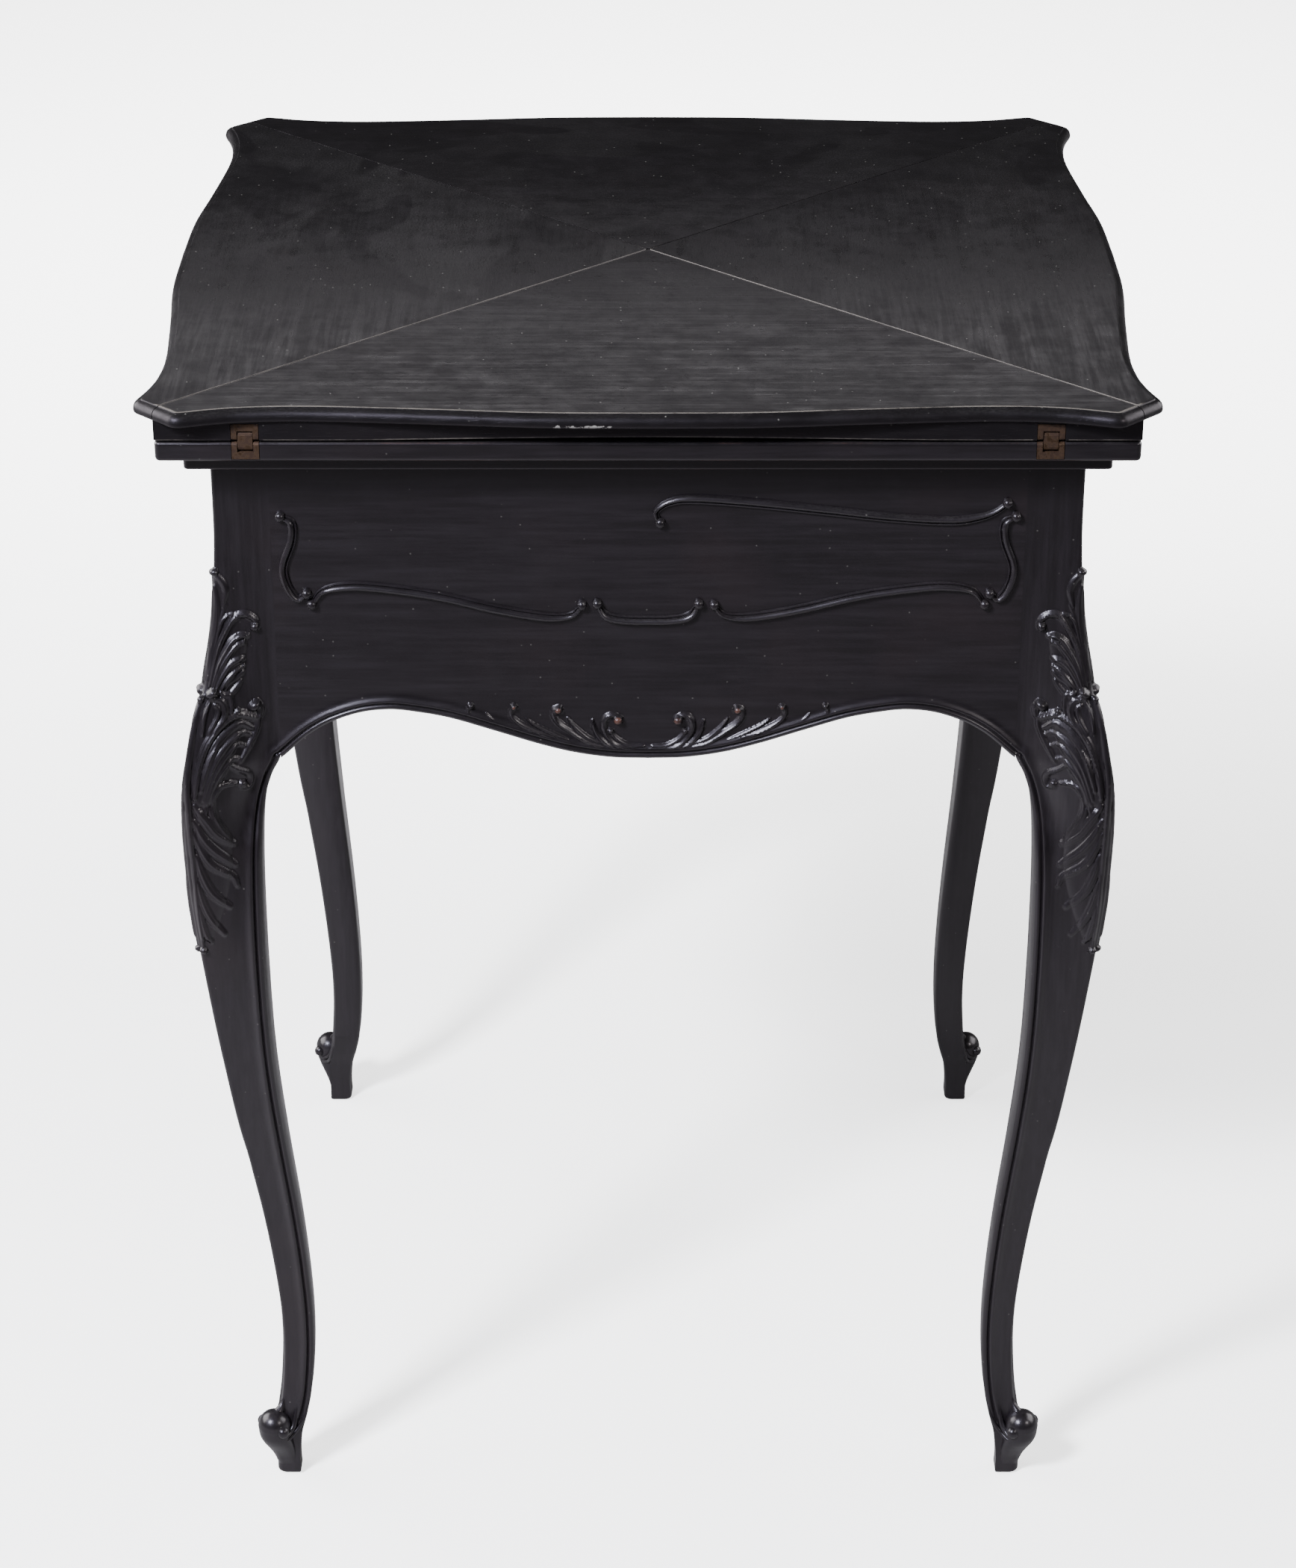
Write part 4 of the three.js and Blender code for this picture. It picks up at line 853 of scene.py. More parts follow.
def moulded_edge():
    """The line that the edge moulding follows: the apron's lower edge, then down the leg's inner edge."""
    across = np.linspace(-APRON_HALF, APRON_HALF, 130)
    apron = np.column_stack([across, apron_edge(across)])
    level = np.linspace(apron[-1, 1], 30, 120)
    _, inner, _ = leg_reaches(level)
    return np.concatenate([apron, np.column_stack([inner, level])])


def bead_height(places):
    """How far the edge moulding stands off at places on a face, and their distance from its edge."""
    gap, _ = nearest_on(moulded_edge(), places)
    return along_table(BEAD_PROFILE, np.minimum(gap, BEAD_WIDTH))[:, 0], gap


def centre_tables():
    """The middle carving's strokes and balls in millimetres, for both halves."""
    across_scale, up_scale = CENTRE_SCALE
    strokes, balls = [], []
    for scale in (across_scale, -across_scale):
        for start, middle, end, rise, points in CENTRE_STROKES:
            places = [(across * scale, APRON_LOW + up * up_scale) for across, up in points]
            strokes.append((start, middle, end, rise, places))
        for across, up, radius in CENTRE_BALLS:
            balls.append((across * scale, APRON_LOW + up * up_scale, radius))
    return strokes, balls


def apron_mesh(depth):
    """The front apron as rings along it: up the carved face, over the top and down the back."""
    fine = np.linspace(-CARVED_HALF, CARVED_HALF, 330)
    coarse = np.linspace(CARVED_HALF, POST_INNER + 0.1, 45)[1:]
    across = np.concatenate([-coarse[::-1], fine, coarse])
    low = apron_edge(across)
    widen = np.sqrt(1 + np.gradient(low, across) ** 2)
    bead_rows = low + np.linspace(0, BEAD_WIDTH, 31)[:, None] * widen
    carved_rows = bead_rows[-1] + np.linspace(0, 32, 50)[1:, None]
    base = carved_rows[-1]
    plain_rows = base + (FRAME_TOP - base) * np.linspace(0, 1, 16)[1:, None]
    level = np.concatenate([bead_rows, carved_rows, plain_rows]).T
    places = np.column_stack([np.repeat(across, level.shape[1]), level.ravel()])
    bead, gap = bead_height(places)
    strokes, balls = centre_tables()
    tips = ball_heights(places, balls)
    carved = np.maximum(stroke_heights(places, strokes, True), tips) * depth
    carved *= smoothstep(4.5, 8, gap) * (np.abs(places[:, 0]) < CARVED_HALF)
    relief = np.maximum(bead, bead * 0.3 + carved).reshape(level.shape)
    back = np.linspace(0, 1, 5) * (low - FRAME_TOP)[:, None] + FRAME_TOP
    level = np.concatenate([level, back], 1)
    out = np.concatenate([-FRAME_HALF - relief, np.full(back.shape, -APRON_INNER)], 1)
    mesh = as_mesh(loft(np.stack([np.broadcast_to(across[:, None], level.shape), out, level], -1)))
    crest = np.maximum(0.95 * smoothstep(0.5, 0.9, tips / 3), 0.72 * smoothstep(2.0, 2.8, carved))
    # Painted shade in the edge moulding's groove, kept as the hollow attribute
    hollow = np.where(gap < BEAD_WIDTH, smoothstep(0.1, -0.6, bead), 0)
    for name, values in (("wear", crest), ("hollow", hollow)):
        values = np.concatenate([values.reshape(relief.shape), np.zeros(back.shape)], 1)
        set_values(mesh, name, values.ravel())
    return mesh


def scroll_shell(shares):
    """One scroll: the profile carried along a smooth curve, narrower at its ends, and a ball at each."""
    points = [(SCROLL_HALF * across, SCROLL_LOW + SCROLL_HEIGHT * up) for across, up in shares]
    curve, way = smooth_curve(points, 64)
    middle = np.array([0, SCROLL_LOW + SCROLL_HEIGHT / 2])
    side = np.sign(np.sum(np.cross(way, middle - curve)))
    share = np.linspace(0, 1, len(curve))
    swell = 0.62 + 0.38 * smoothstep(0, 0.16, np.minimum(share, 1 - share))
    profile = np.asarray(SCROLL_PROFILE)
    across = profile[None, :, 0] * swell[:, None] * side
    height = profile[None, :, 1] * (0.35 + 0.65 * swell[:, None])
    normal = np.column_stack([-way[:, 1], way[:, 0]])
    flat = curve[:, None, :] + across[..., None] * normal[:, None, :]
    rings = np.stack([flat[..., 0], -FRAME_HALF - height, flat[..., 1]], -1)
    ends = [sphere((x, -FRAME_HALF - 1.1, z), 3.1) for x, z in (curve[0], curve[-1])]
    return merged(loft(rings), *ends)


def scroll_mesh(shell):
    """Scrolls worn on the parts that stand out most, with painted shade where they meet the apron."""
    mesh = as_mesh(shell)
    height = -FRAME_HALF - mesh_points(mesh)[:, 1]
    set_values(mesh, "wear", 0.55 * smoothstep(2.2, 3.8, height))
    # Painted shade where the scroll meets the apron
    set_values(mesh, "hollow", smoothstep(1.0, 0.0, height))
    return mesh


# Legs

def leg_grid(level):
    """Rings of the back right leg before its carving, and where their points lie on a face.

    A ring runs round the hollow inner corner, along the side face to the middle of the rounded outer
    corner, and back along the other face, which mirrors the first. The other two results hold, for the
    side face, the distance from the table's middle along the face and the distance from the corner.
    """
    outer, inner, face = leg_reaches(level)
    ease = FOOT_EASE - np.sqrt(FOOT_EASE**2 - np.clip(FOOT_EASE - level, 0, FOOT_EASE) ** 2)
    outer, inner, face = (outer - ease)[:, None], (inner + ease)[:, None], (face - ease)[:, None]
    level = level[:, None]
    radius = ARRIS_RADIUS + FOOT_ROUNDING * (1 - smoothstep(0.02, 0.07, level / FRAME_TOP))
    corner = outer - radius
    bead_zone = np.broadcast_to(np.linspace(0, BEAD_GRID, 15), (len(level), 15))
    plain_zone = BEAD_GRID + (corner - inner - BEAD_GRID) * np.linspace(0, 1, 82)[1:]
    along = inner + np.concatenate([bead_zone, plain_zone], 1)
    across = face + (outer - face) * smoothstep(0, 1, (along - inner) / (corner - inner))
    across -= (face - FRAME_HALF) * smoothstep(465, 528, level) * smoothstep(22, 0, along - inner)
    turn = np.radians([15, 30, 45])
    along = np.concatenate([along, corner + radius * np.sin(turn)], 1)
    across = np.concatenate([across, corner + radius * np.cos(turn)], 1)
    height = np.broadcast_to(level, along.shape)
    side = np.stack([across, along, height], -1)
    turn = np.linspace(0, QUARTER, INNER_POINTS)
    hollow = inner + INNER_RADIUS
    ways = hollow - INNER_RADIUS * np.cos(turn), hollow - INNER_RADIUS * np.sin(turn)
    inner_round = np.stack([*ways, height[:, :INNER_POINTS]], -1)
    grid = np.concatenate([inner_round, side, side[:, -2::-1][..., (1, 0, 2)]], 1)
    return grid, along, outer - along


def leg_mesh(depth):
    """The back right leg, with each point moved out along its normal by edge moulding and carving."""
    level = np.concatenate([
        np.linspace(0, 3, 6), np.linspace(3, 66, 60)[1:], np.linspace(66, 400, 40)[1:],
        np.linspace(400, 658, 290)[1:], np.linspace(658, FRAME_TOP, 6)[1:],
    ])
    grid, along, from_corner = leg_grid(level)
    height = np.repeat(level, along.shape[1])
    from_corner = np.column_stack([from_corner.ravel(), height])

    def both_faces(values):
        values = values.reshape(along.shape)
        return np.concatenate([np.zeros((len(level), INNER_POINTS)), values, values[:, -2::-1]], 1)

    bead, gap = bead_height(np.column_stack([along.ravel(), height]))
    bead *= smoothstep(30, 50, height) * (height < 700)
    balls = ball_heights(from_corner, KNEE_BALLS)
    strokes = stroke_heights(from_corner, KNEE_STROKES, True)
    body = stroke_heights(from_corner, KNEE_BODIES, False)
    carved = (np.maximum(strokes, balls) + body) * depth * smoothstep(3.5, 6, gap)
    normal = np.cross(np.roll(grid, -1, axis=1) - np.roll(grid, 1, axis=1), np.gradient(grid, axis=0))
    normal[..., 2] *= 0.5
    normal /= np.linalg.norm(normal, axis=-1)[..., None]
    normal[:, INNER_POINTS] = (1, 0, 0)
    normal[:, -1] = (0, 1, 0)
    relief = both_faces(np.maximum(bead, carved + bead * 0.3))
    legs = loft(grid + normal * relief[..., None])
    wear = np.maximum(0.3 * smoothstep(0.45, 0.9, balls / 3.2), 0.6 * smoothstep(2.6, 4.0, carved))
    wear = both_faces(wear)
    middle = INNER_POINTS + along.shape[1]
    wear[:, middle - 3:middle + 2] = np.maximum(wear[:, middle - 3:middle + 2], 0.5)
    wear = np.maximum(wear, 0.8 * smoothstep(4, 0.5, level)[:, None])
    # Painted shade in the edge moulding's groove and between the carved strokes
    groove = np.maximum(smoothstep(0.35, -0.5, bead) * (gap < BEAD_WIDTH), painted_ground_shade(carved, body))
    toe = toe_pieces()
    mesh = as_mesh(merged(legs, toe))
    set_values(mesh, "wear", np.concatenate([wear.ravel(), 0.5 * smoothstep(38, 22, toe[0][:, 2])]))
    set_values(mesh, "hollow", np.concatenate([both_faces(groove).ravel(), np.zeros(len(toe[0]))]))
    return mesh


def tube(places):
    """A tube of circles along a smooth curve through places given with the tube's radius there.

    Each circle lies across the way that the curve runs, set out from two lines square to it.
    """
    line, _ = smooth_curve(places, 8 * len(places))
    way = np.gradient(line[:, :3], axis=0)
    way /= np.linalg.norm(way, axis=1)[:, None]
    side = np.cross(way, (0.31, 0.9, 0.3))
    side /= np.linalg.norm(side, axis=1)[:, None]
    rise = np.cross(way, side)
    turn = full_turn(14)[:, None]
    circle = np.cos(turn) * side[:, None] + np.sin(turn) * rise[:, None]
    return loft(line[:, None, :3] + circle * line[:, None, 3:])


def toe_shell():
    """The scroll ball of the toe, as rings from the foot's own outline up, which flow into circles.

    The outline is a square with round corners, drawn by its distance from the foot's middle each way, and
    it dips into the foot at its lower end.
    """
    way = on_circle(full_turn(72))
    level = TOE_HEIGHT + TOE_RADIUS * np.sin(np.linspace(0, 0.495, 20) * math.pi)
    level = np.concatenate([np.linspace(5, TOE_HEIGHT, 56)[:-1], level])
    share = along_table(TOE_FLOW, level)
    up = np.clip((level - TOE_HEIGHT) / TOE_RADIUS, 0, 1)
    circle = TOE_CENTRE + way * (TOE_RADIUS * np.sqrt(1 - up**2))[:, None, None]
    outer, inner, _ = leg_reaches(level)
    proud = 0.6 * smoothstep(5, 13, level) - 0.35
    half = (outer - inner)[:, None] / 2 - 0.4
    flat = half - ARRIS_RADIUS - FOOT_ROUNDING + 0.4
    across, least, most = np.abs(way).sum(1), np.abs(way).min(1), np.abs(way).max(1)
    straight = half / most
    inside = np.clip((flat * across) ** 2 - 2 * flat**2 + (half - flat) ** 2, 0, None)
    reach = np.where(straight * least > flat, flat * across + np.sqrt(inside), straight)
    foot = ((outer + inner) / 2 + 0.4 + proud)[:, None, None] + way * reach[..., None]
    plan = circle * (1 - share[..., None]) + foot * share[..., None]
    height = np.broadcast_to(level[:, None, None], plan[..., :1].shape)
    return loft(np.concatenate([plan, height], -1))


def toe_pieces():
    """The toe's balls, its rolls on both faces and its ridge."""
    shells = [toe_shell(), tube(TOE_RIDGE)]
    along, out, up, radius = TOE_BALL
    shells += [sphere((out, along, up), radius), sphere((along, out, up), radius)]
    for roll in TOE_ROLLS:
        along, out, up, radius = np.asarray(roll).T
        for place in ((out, along), (along, out)):
            shells.append(tube(np.column_stack([*place, up, radius])))
    return merged(*shells)


# Materials

def set_inputs(node, inputs):
    """Gives a node's inputs their values, or links them from sockets."""
    for key, value in inputs.items():
        if isinstance(value, bpy.types.NodeSocket):
            node.id_data.links.new(value, node.inputs[key])
        else:
            node.inputs[key].default_value = value


def new_node(tree, kind, inputs=None, **settings):
    """The outputs of a new node with its settings and inputs."""
    node = tree.nodes.new(kind)
    for name, value in settings.items():
        setattr(node, name, value)
    set_inputs(node, inputs or {})
    return node.outputs


def math_node(tree, operation, first, second, clamp=False):
    """The result of one sum on values or sockets."""
    return new_node(tree, "ShaderNodeMath", {0: first, 1: second}, operation=operation, use_clamp=clamp)[0]


def product(tree, first, *others):
    """All the values multiplied."""
    for other in others:
        first = math_node(tree, "MULTIPLY", first, other)
    return first


def added(tree, first, *others):
    """All the values added up."""
    for other in others:
        first = math_node(tree, "ADD", first, other)
    return first


def taken(tree, first, second):
    """What is left of the first value when the second is taken off."""
    return math_node(tree, "SUBTRACT", first, second)


def mapped(tree, value, low, high, start=0.0, end=1.0):
    """The value moved from one range to another along a smooth step, and held at its ends."""
    inputs = {0: value, 1: low, 2: high, 3: start, 4: end}
    return new_node(tree, "ShaderNodeMapRange", inputs, interpolation_type="SMOOTHSTEP")[0]


def noise(tree, place, scale, detail, rough, distortion=0.0):
    """Soft noise from 0 to 1 that averages a half."""
    inputs = {"Vector": place, "Scale": scale, "Detail": detail, "Roughness": rough, "Distortion": distortion}
    return new_node(tree, "ShaderNodeTexNoise", inputs)["Fac"]


def stretched(tree, place, scale):
    """The place times a scale for each direction."""
    return new_node(tree, "ShaderNodeMapping", {"Vector": place, "Scale": scale})[0]


def mixed(tree, factor, first, second):
    """A mix of two colours, each a socket or red, green and blue."""
    inputs = {0: factor, 6: first, 7: second}
    for key in (6, 7):
        if not isinstance(inputs[key], bpy.types.NodeSocket):
            inputs[key] = (*inputs[key], 1)
    return new_node(tree, "ShaderNodeMix", inputs, data_type="RGBA")[2]


def kept_value(tree, name, output="Fac"):
    """A value that a mesh keeps for each point."""
    return new_node(tree, "ShaderNodeAttribute", attribute_name=name)[output]


def object_place(tree):
    """The place in the object's own coordinates."""
    return new_node(tree, "ShaderNodeTexCoord")["Object"]


def bumped(tree, height, distance, strength):
    """The normal of a surface with fine relief."""
    return new_node(tree, "ShaderNodeBump", {"Height": height, "Distance": distance, "Strength": strength})[0]


def new_group(name, inputs, outputs):
    """A shader group with a place, other numbers with defaults, and named numbers as outputs."""
    tree = bpy.data.node_groups.new(name, "ShaderNodeTree")
    tree.interface.new_socket("Place", in_out="INPUT", socket_type="NodeSocketVector")
    for label, default in inputs.items():
        socket = tree.interface.new_socket(label, in_out="INPUT", socket_type="NodeSocketFloat")
        socket.default_value = default
    for label in outputs:
        tree.interface.new_socket(label, in_out="OUTPUT", socket_type="NodeSocketFloat")
    return tree, new_node(tree, "NodeGroupInput"), tree.nodes.new("NodeGroupOutput")


def grain_group(name):
    """Fine streaks along the wood's first direction, and short open pores."""
    tree, given, out = new_group(name, {}, ("Streaks", "Pores"))
    wide = noise(tree, stretched(tree, given["Place"], (8, 170, 170)), 1.0, 4, 0.6, 0.3)
    fine = noise(tree, stretched(tree, given["Place"], (26, 480, 480)), 1.0, 3, 0.6)
    pores = noise(tree, stretched(tree, given["Place"], (110, 1900, 1900)), 1.0, 1, 0.4)
    streaks = added(tree, product(tree, wide, 0.55), product(tree, fine, 0.45))
    set_inputs(out, {"Streaks": streaks, "Pores": mapped(tree, pores, 0.63, 0.72)})
    return tree


def wear_group(name):
    """Where edges are rubbed: the wear attribute broken up by noise of two sizes."""
    tree, given, out = new_group(name, {"Wear": 0.0, "Amount": 0.5}, ("Mask",))
    broad = noise(tree, given["Place"], 28.0, 4, 0.6)
    fine = noise(tree, given["Place"], 420.0, 3, 0.6)
    rough = added(tree, product(tree, broad, 0.7), product(tree, fine, 0.3))
    level = taken(tree, 1.0, product(tree, given["Amount"], 0.75))
    over = taken(tree, product(tree, given["Wear"], added(tree, rough, 0.35)), level)
    set_inputs(out, {"Mask": mapped(tree, over, 0.0, 0.28)})
    return tree


def dust_group(name):
    """Dust that settles on faces that look up, thicker in soft patches, with single pale specks."""
    tree, given, out = new_group(name, {"Amount": 0.3}, ("Film", "Specks"))
    normal = new_node(tree, "ShaderNodeNewGeometry")["Normal"]
    up = new_node(tree, "ShaderNodeSeparateXYZ", {0: normal})[2]
    patches = mapped(tree, noise(tree, given["Place"], 7.0, 4, 0.6), 0.35, 0.7, 0.2, 1.1)
    haze = mapped(tree, noise(tree, given["Place"], 800.0, 2, 0.6), 0.35, 0.7, 0.2, 1.4)
    film = product(tree, patches, haze, mapped(tree, up, 0.2, 0.95), given["Amount"])
    cells = new_node(tree, "ShaderNodeTexVoronoi", {"Vector": given["Place"], "Scale": 190.0}, feature="F1")
    dots = mapped(tree, cells["Distance"], 0.13, 0.05)
    chosen = new_node(tree, "ShaderNodeSeparateColor", {0: cells["Color"]})[0]
    few = mapped(tree, chosen, 0.8, 0.84)
    specks = product(tree, dots, few, mapped(tree, up, 0, 0.9, 1.4, 2.2), given["Amount"])
    set_inputs(out, {"Film": film, "Specks": specks})
    return tree


def marks_group(name):
    """Dark wiped smudges with soft broken edges."""
    tree, given, out = new_group(name, {"Amount": 0.5}, ("Mask",))
    large = noise(tree, stretched(tree, given["Place"], (1.0, 1.9, 1.0)), 8.0, 2, 0.45, 1.2)
    set_inputs(out, {"Mask": product(tree, mapped(tree, large, 0.51, 0.57), given["Amount"])})
    return tree


GROUPS = {
    "Wood grain": grain_group,
    "Worn edges": wear_group,
    "Settled dust": dust_group,
    "Wiped marks": marks_group,
}


def shared(tree, name, **inputs):
    """The outputs of a shared group placed in a tree. The group is built at its first use."""
    group = bpy.data.node_groups.get(name) or GROUPS[name](name)
    return new_node(tree, "ShaderNodeGroup", inputs, node_tree=group)


def new_material(name):
    """A new material, its node tree and its Principled shader."""
    material = bpy.data.materials.new(name)
    material.use_nodes = True
    return material, material.node_tree, material.node_tree.nodes["Principled BSDF"]


def ebonised(name, finish):
    """Black stained and polished wood: grain, rubbed edges, dust, painted shade in the carving's hollows and,
    on the top, wiped marks, chips and pale edges that are partly painted highlights.
    """
    top = name == "Ebonised top"
    material, tree, shader = new_material(name)
    place = kept_value(tree, "grain", "Vector")
    grain = shared(tree, "Wood grain", Place=place)
    worn = kept_value(tree, "wear")
    rubbed = shared(tree, "Worn edges", Place=place, Wear=worn, Amount=finish.edge_wear)["Mask"]
    dust = shared(tree, "Settled dust", Place=place, Amount=finish.top_dust if top else finish.frame_dust)
    dark, light = (finish.top_stain, finish.top_stain_light) if top else (finish.stain, finish.stain_light)
    colour = mixed(tree, mapped(tree, grain["Streaks"], 0.35, 0.7), dark, light)
    tint = mapped(tree, noise(tree, place, 11.0, 3, 0.5), 0.5, 0.8, 0, 0.1 if top else 0.5)
    colour = mixed(tree, tint, colour, finish.stain_warm)
    film = dust["Film"]
    if top:
        marks = shared(tree, "Wiped marks", Place=place, Amount=0.85)["Mask"]
        # Each leaf's dust share, partly dust and partly painted shade that darkens the back leaf
        film = product(tree, film, taken(tree, 1.0, marks), kept_value(tree, "dust"))
    colour = mixed(tree, film, colour, finish.dust)
    # Painted shade in the carving's hollows and the mouldings' grooves, from the hollow attribute
    colour = mixed(tree, product(tree, kept_value(tree, "hollow"), 0.5), colour, finish.painted_hollow_shade)
    # Rubbed edges; on the top the pale colour also paints highlight lines on the arrises, the lip and the
    # seams
    colour = mixed(tree, rubbed, colour, finish.top_rubbed_and_highlight if top else finish.rubbed)
    colour = mixed(tree, dust["Specks"], colour, finish.specks)
    base = finish.top_roughness if top else finish.frame_roughness
    rough = mapped(tree, noise(tree, place, 60.0, 4, 0.6), 0.3, 0.75, base - 0.05, base + 0.08)
    if top:
        broken = product(tree, kept_value(tree, "chip"), noise(tree, place, 190.0, 4, 0.65))
        colour = mixed(tree, mapped(tree, broken, 0.49, 0.56), colour, finish.chips)
        rough = added(tree, rough, mapped(tree, grain["Streaks"], 0.4, 0.62, 0.06, -0.045))
    rough = added(tree, rough, product(tree, film, 0.5))
    rough = math_node(tree, "ADD", rough, product(tree, rubbed, 0.12), clamp=True)
    streaks = taken(tree, product(tree, grain["Streaks"], 0.5), grain["Pores"])
    ripple = product(tree, noise(tree, place, 45.0, 2, 0.5), 0.5)
    height = added(tree, product(tree, streaks, 0.35), ripple)
    set_inputs(shader, {
        "Base Color": colour,
        "Roughness": rough,
        "Normal": bumped(tree, height, 0.0003, 0.4 if top else 0.16),
        "Specular IOR Level": 0.5,
        "Specular Tint": (1, 0.9, 1, 1),
        "Coat Weight": 0.0 if top else 0.7,
        "Coat Roughness": 0.24,
    })
    return material


def stained_pine(name, finish):
    """Hidden boards and blocks, in coarse stained wood."""
    material, tree, shader = new_material(name)
    place = object_place(tree)
    streaks = shared(tree, "Wood grain", Place=place)["Streaks"]
    dust = shared(tree, "Settled dust", Place=place, Amount=0.5)["Film"]
    colour = mixed(tree, mapped(tree, streaks, 0.35, 0.65), finish.pine_dark, finish.pine)
    set_inputs(shader, {
        "Base Color": mixed(tree, dust, colour, finish.dust),
        "Roughness": 0.75,
        "Normal": bumped(tree, streaks, 0.0005, 0.6),
    })
    return material


def metal(name, finish):
    """Old metal: a tarnished colour with brighter rubbed patches and small pits."""
    dull, bright, roughness = finish.steel_dull, finish.steel, 0.45
    if name == "Old brass":
        dull, bright, roughness = finish.brass_dull, finish.brass, 0.42
    material, tree, shader = new_material(name)
    place = object_place(tree)
    patches = mapped(tree, noise(tree, place, 260.0, 5, 0.65), 0.42, 0.68)
    set_inputs(shader, {
        "Base Color": mixed(tree, patches, dull, bright),
        "Roughness": mapped(tree, patches, 0, 1, roughness + 0.15, roughness),
        "Metallic": mapped(tree, patches, 0, 1, 0.55, 0.95),
        "Normal": bumped(tree, noise(tree, place, 1500.0, 2, 0.5), 0.0002, 0.35),
    })
    return material


def baize_cloth(name, finish):
    """Napped woollen cloth: short fibres by fine noise, and worn paler patches."""
    material, tree, shader = new_material(name)
    place = kept_value(tree, "grain", "Vector")
    fibres = noise(tree, stretched(tree, place, (900, 1700, 1700)), 1.0, 4, 0.7, 0.8)
    patches = mapped(tree, noise(tree, place, 9.0, 4, 0.55), 0.35, 0.75, 0.0, 0.45)
    colour = mixed(tree, mapped(tree, fibres, 0.3, 0.7), finish.baize_dark, finish.baize)
    set_inputs(shader, {
        "Base Color": mixed(tree, patches, colour, finish.baize_worn),
        "Roughness": 0.95,
        "Sheen Weight": 0.08,
        "Normal": bumped(tree, fibres, 0.0006, 0.8),
    })
    return material


# Each material, the function that makes it and the slot of its pieces
MATERIALS = {
    "Ebonised top": (ebonised, "ebonised_wood"),
    "Ebonised frame": (ebonised, "ebonised_wood"),
    "Stained pine": (stained_pine, "stained_pine"),
    "Old brass": (metal, "old_brass"),
    "Dark steel": (metal, "dark_steel"),
    "Baize cloth": (baize_cloth, "baize"),
}


def material_of(name):
    """A material of the table, made at its first use."""
    return bpy.data.materials.get(name) or MATERIALS[name][0](name, bpy.context.scene.card_table_finish)


# Settings

def colour_prop(name, description, default):
    """A setting that is a colour."""
    return bpy.props.FloatVectorProperty(
        name=name, description=description, default=default, subtype="COLOR", size=3, min=0, max=1,
    )


def share_prop(name, description, default, highest=1.0):
    """A setting that is a share, from nothing to the highest."""
    return bpy.props.FloatProperty(
        name=name, description=description, default=default, subtype="FACTOR", min=0, max=highest,
    )


class CardTableCarving(bpy.types.PropertyGroup):
    """Sizes of the carving and of the old top's bow."""

    knee_depth: share_prop("Knee carving", "Depth of the knees' carving, to the drawn one", 1.0, 2.0)
    centre_depth: share_prop("Centre carving", "Depth of the aprons' carving, to the drawn one", 1.15, 2.0)
    leaf_bow: bpy.props.FloatProperty(
        name="Leaf bow", description="Rise of a leaf's lower edge in the middle of its side",
        default=0.002, unit="LENGTH",
    )


class CardTableFinish(bpy.types.PropertyGroup):
    """Colours and polish of the table."""

    stain: colour_prop("Stain", "Darkest colour of the frame", (0.0038, 0.0031, 0.0038))
    stain_light: colour_prop("Light streaks", "Lighter streaks of the frame", (0.0086, 0.0072, 0.0090))
    top_stain: colour_prop("Top stain", "Darkest colour of the leaves", (0.0024, 0.0021, 0.0025))
    top_stain_light: colour_prop("Top streaks", "Lighter streaks of the leaves", (0.0050, 0.0044, 0.0050))
    stain_warm: colour_prop("Warm tint", "Warmer areas of the ebonised wood", (0.0115, 0.0078, 0.0088))
    # Painted shade in the carving's hollows, the mouldings' grooves and where the scrolls meet the aprons
    painted_hollow_shade: colour_prop("Hollows", "Painted shade between the carving and in grooves", (0.004, 0.0035, 0.004))
    rubbed: colour_prop("Rubbed edges", "Reddish wood that shows on rubbed edges", (0.05, 0.022, 0.016))
    # Pale grey of the top's rubbed edges, also used as painted highlight lines on its arrises and seams
    top_rubbed_and_highlight: colour_prop("Rubbed top edges", "Pale grey of the top's rubbed edges and painted edge highlights", (0.09, 0.082, 0.074))
    chips: colour_prop("Chips", "Pale chips under the front moulding", (0.2, 0.19, 0.185))
    dust: colour_prop("Dust", "Colour of settled dust", (0.085, 0.083, 0.082))
    specks: colour_prop("Specks", "Colour of single specks", (0.35, 0.34, 0.32))
    baize: colour_prop("Baize", "Colour of the playing cloth", (0.013, 0.046, 0.022))
    baize_dark: colour_prop("Baize shade", "Colour between the cloth's fibres", (0.0045, 0.019, 0.0095))
    baize_worn: colour_prop("Worn baize", "Colour of the cloth's worn patches", (0.026, 0.05, 0.025))
    brass: colour_prop("Brass", "Rubbed colour of the hinges", (0.125, 0.078, 0.05))
    brass_dull: colour_prop("Tarnish", "Tarnished colour of the hinges", (0.042, 0.025, 0.018))
    steel: colour_prop("Steel", "Rubbed colour of the pivot", (0.16, 0.15, 0.14))
    steel_dull: colour_prop("Dull steel", "Dull colour of the pivot", (0.05, 0.045, 0.04))
    pine: colour_prop("Pine", "Lighter colour of the hidden wood", (0.09, 0.055, 0.035))
    pine_dark: colour_prop("Dark pine", "Darker streaks of the hidden wood", (0.03, 0.018, 0.012))
    edge_wear: share_prop("Edge wear", "How far the edges are rubbed through", 0.55)
    top_dust: share_prop("Dust on the top", "How much dust lies on the leaves", 0.13)
    frame_dust: share_prop("Dust on the frame", "How much dust lies on the frame", 0.08)
    top_roughness: share_prop("Top roughness", "Roughness of the leaves", 0.34)
    frame_roughness: share_prop("Frame roughness", "Roughness of the frame", 0.34)


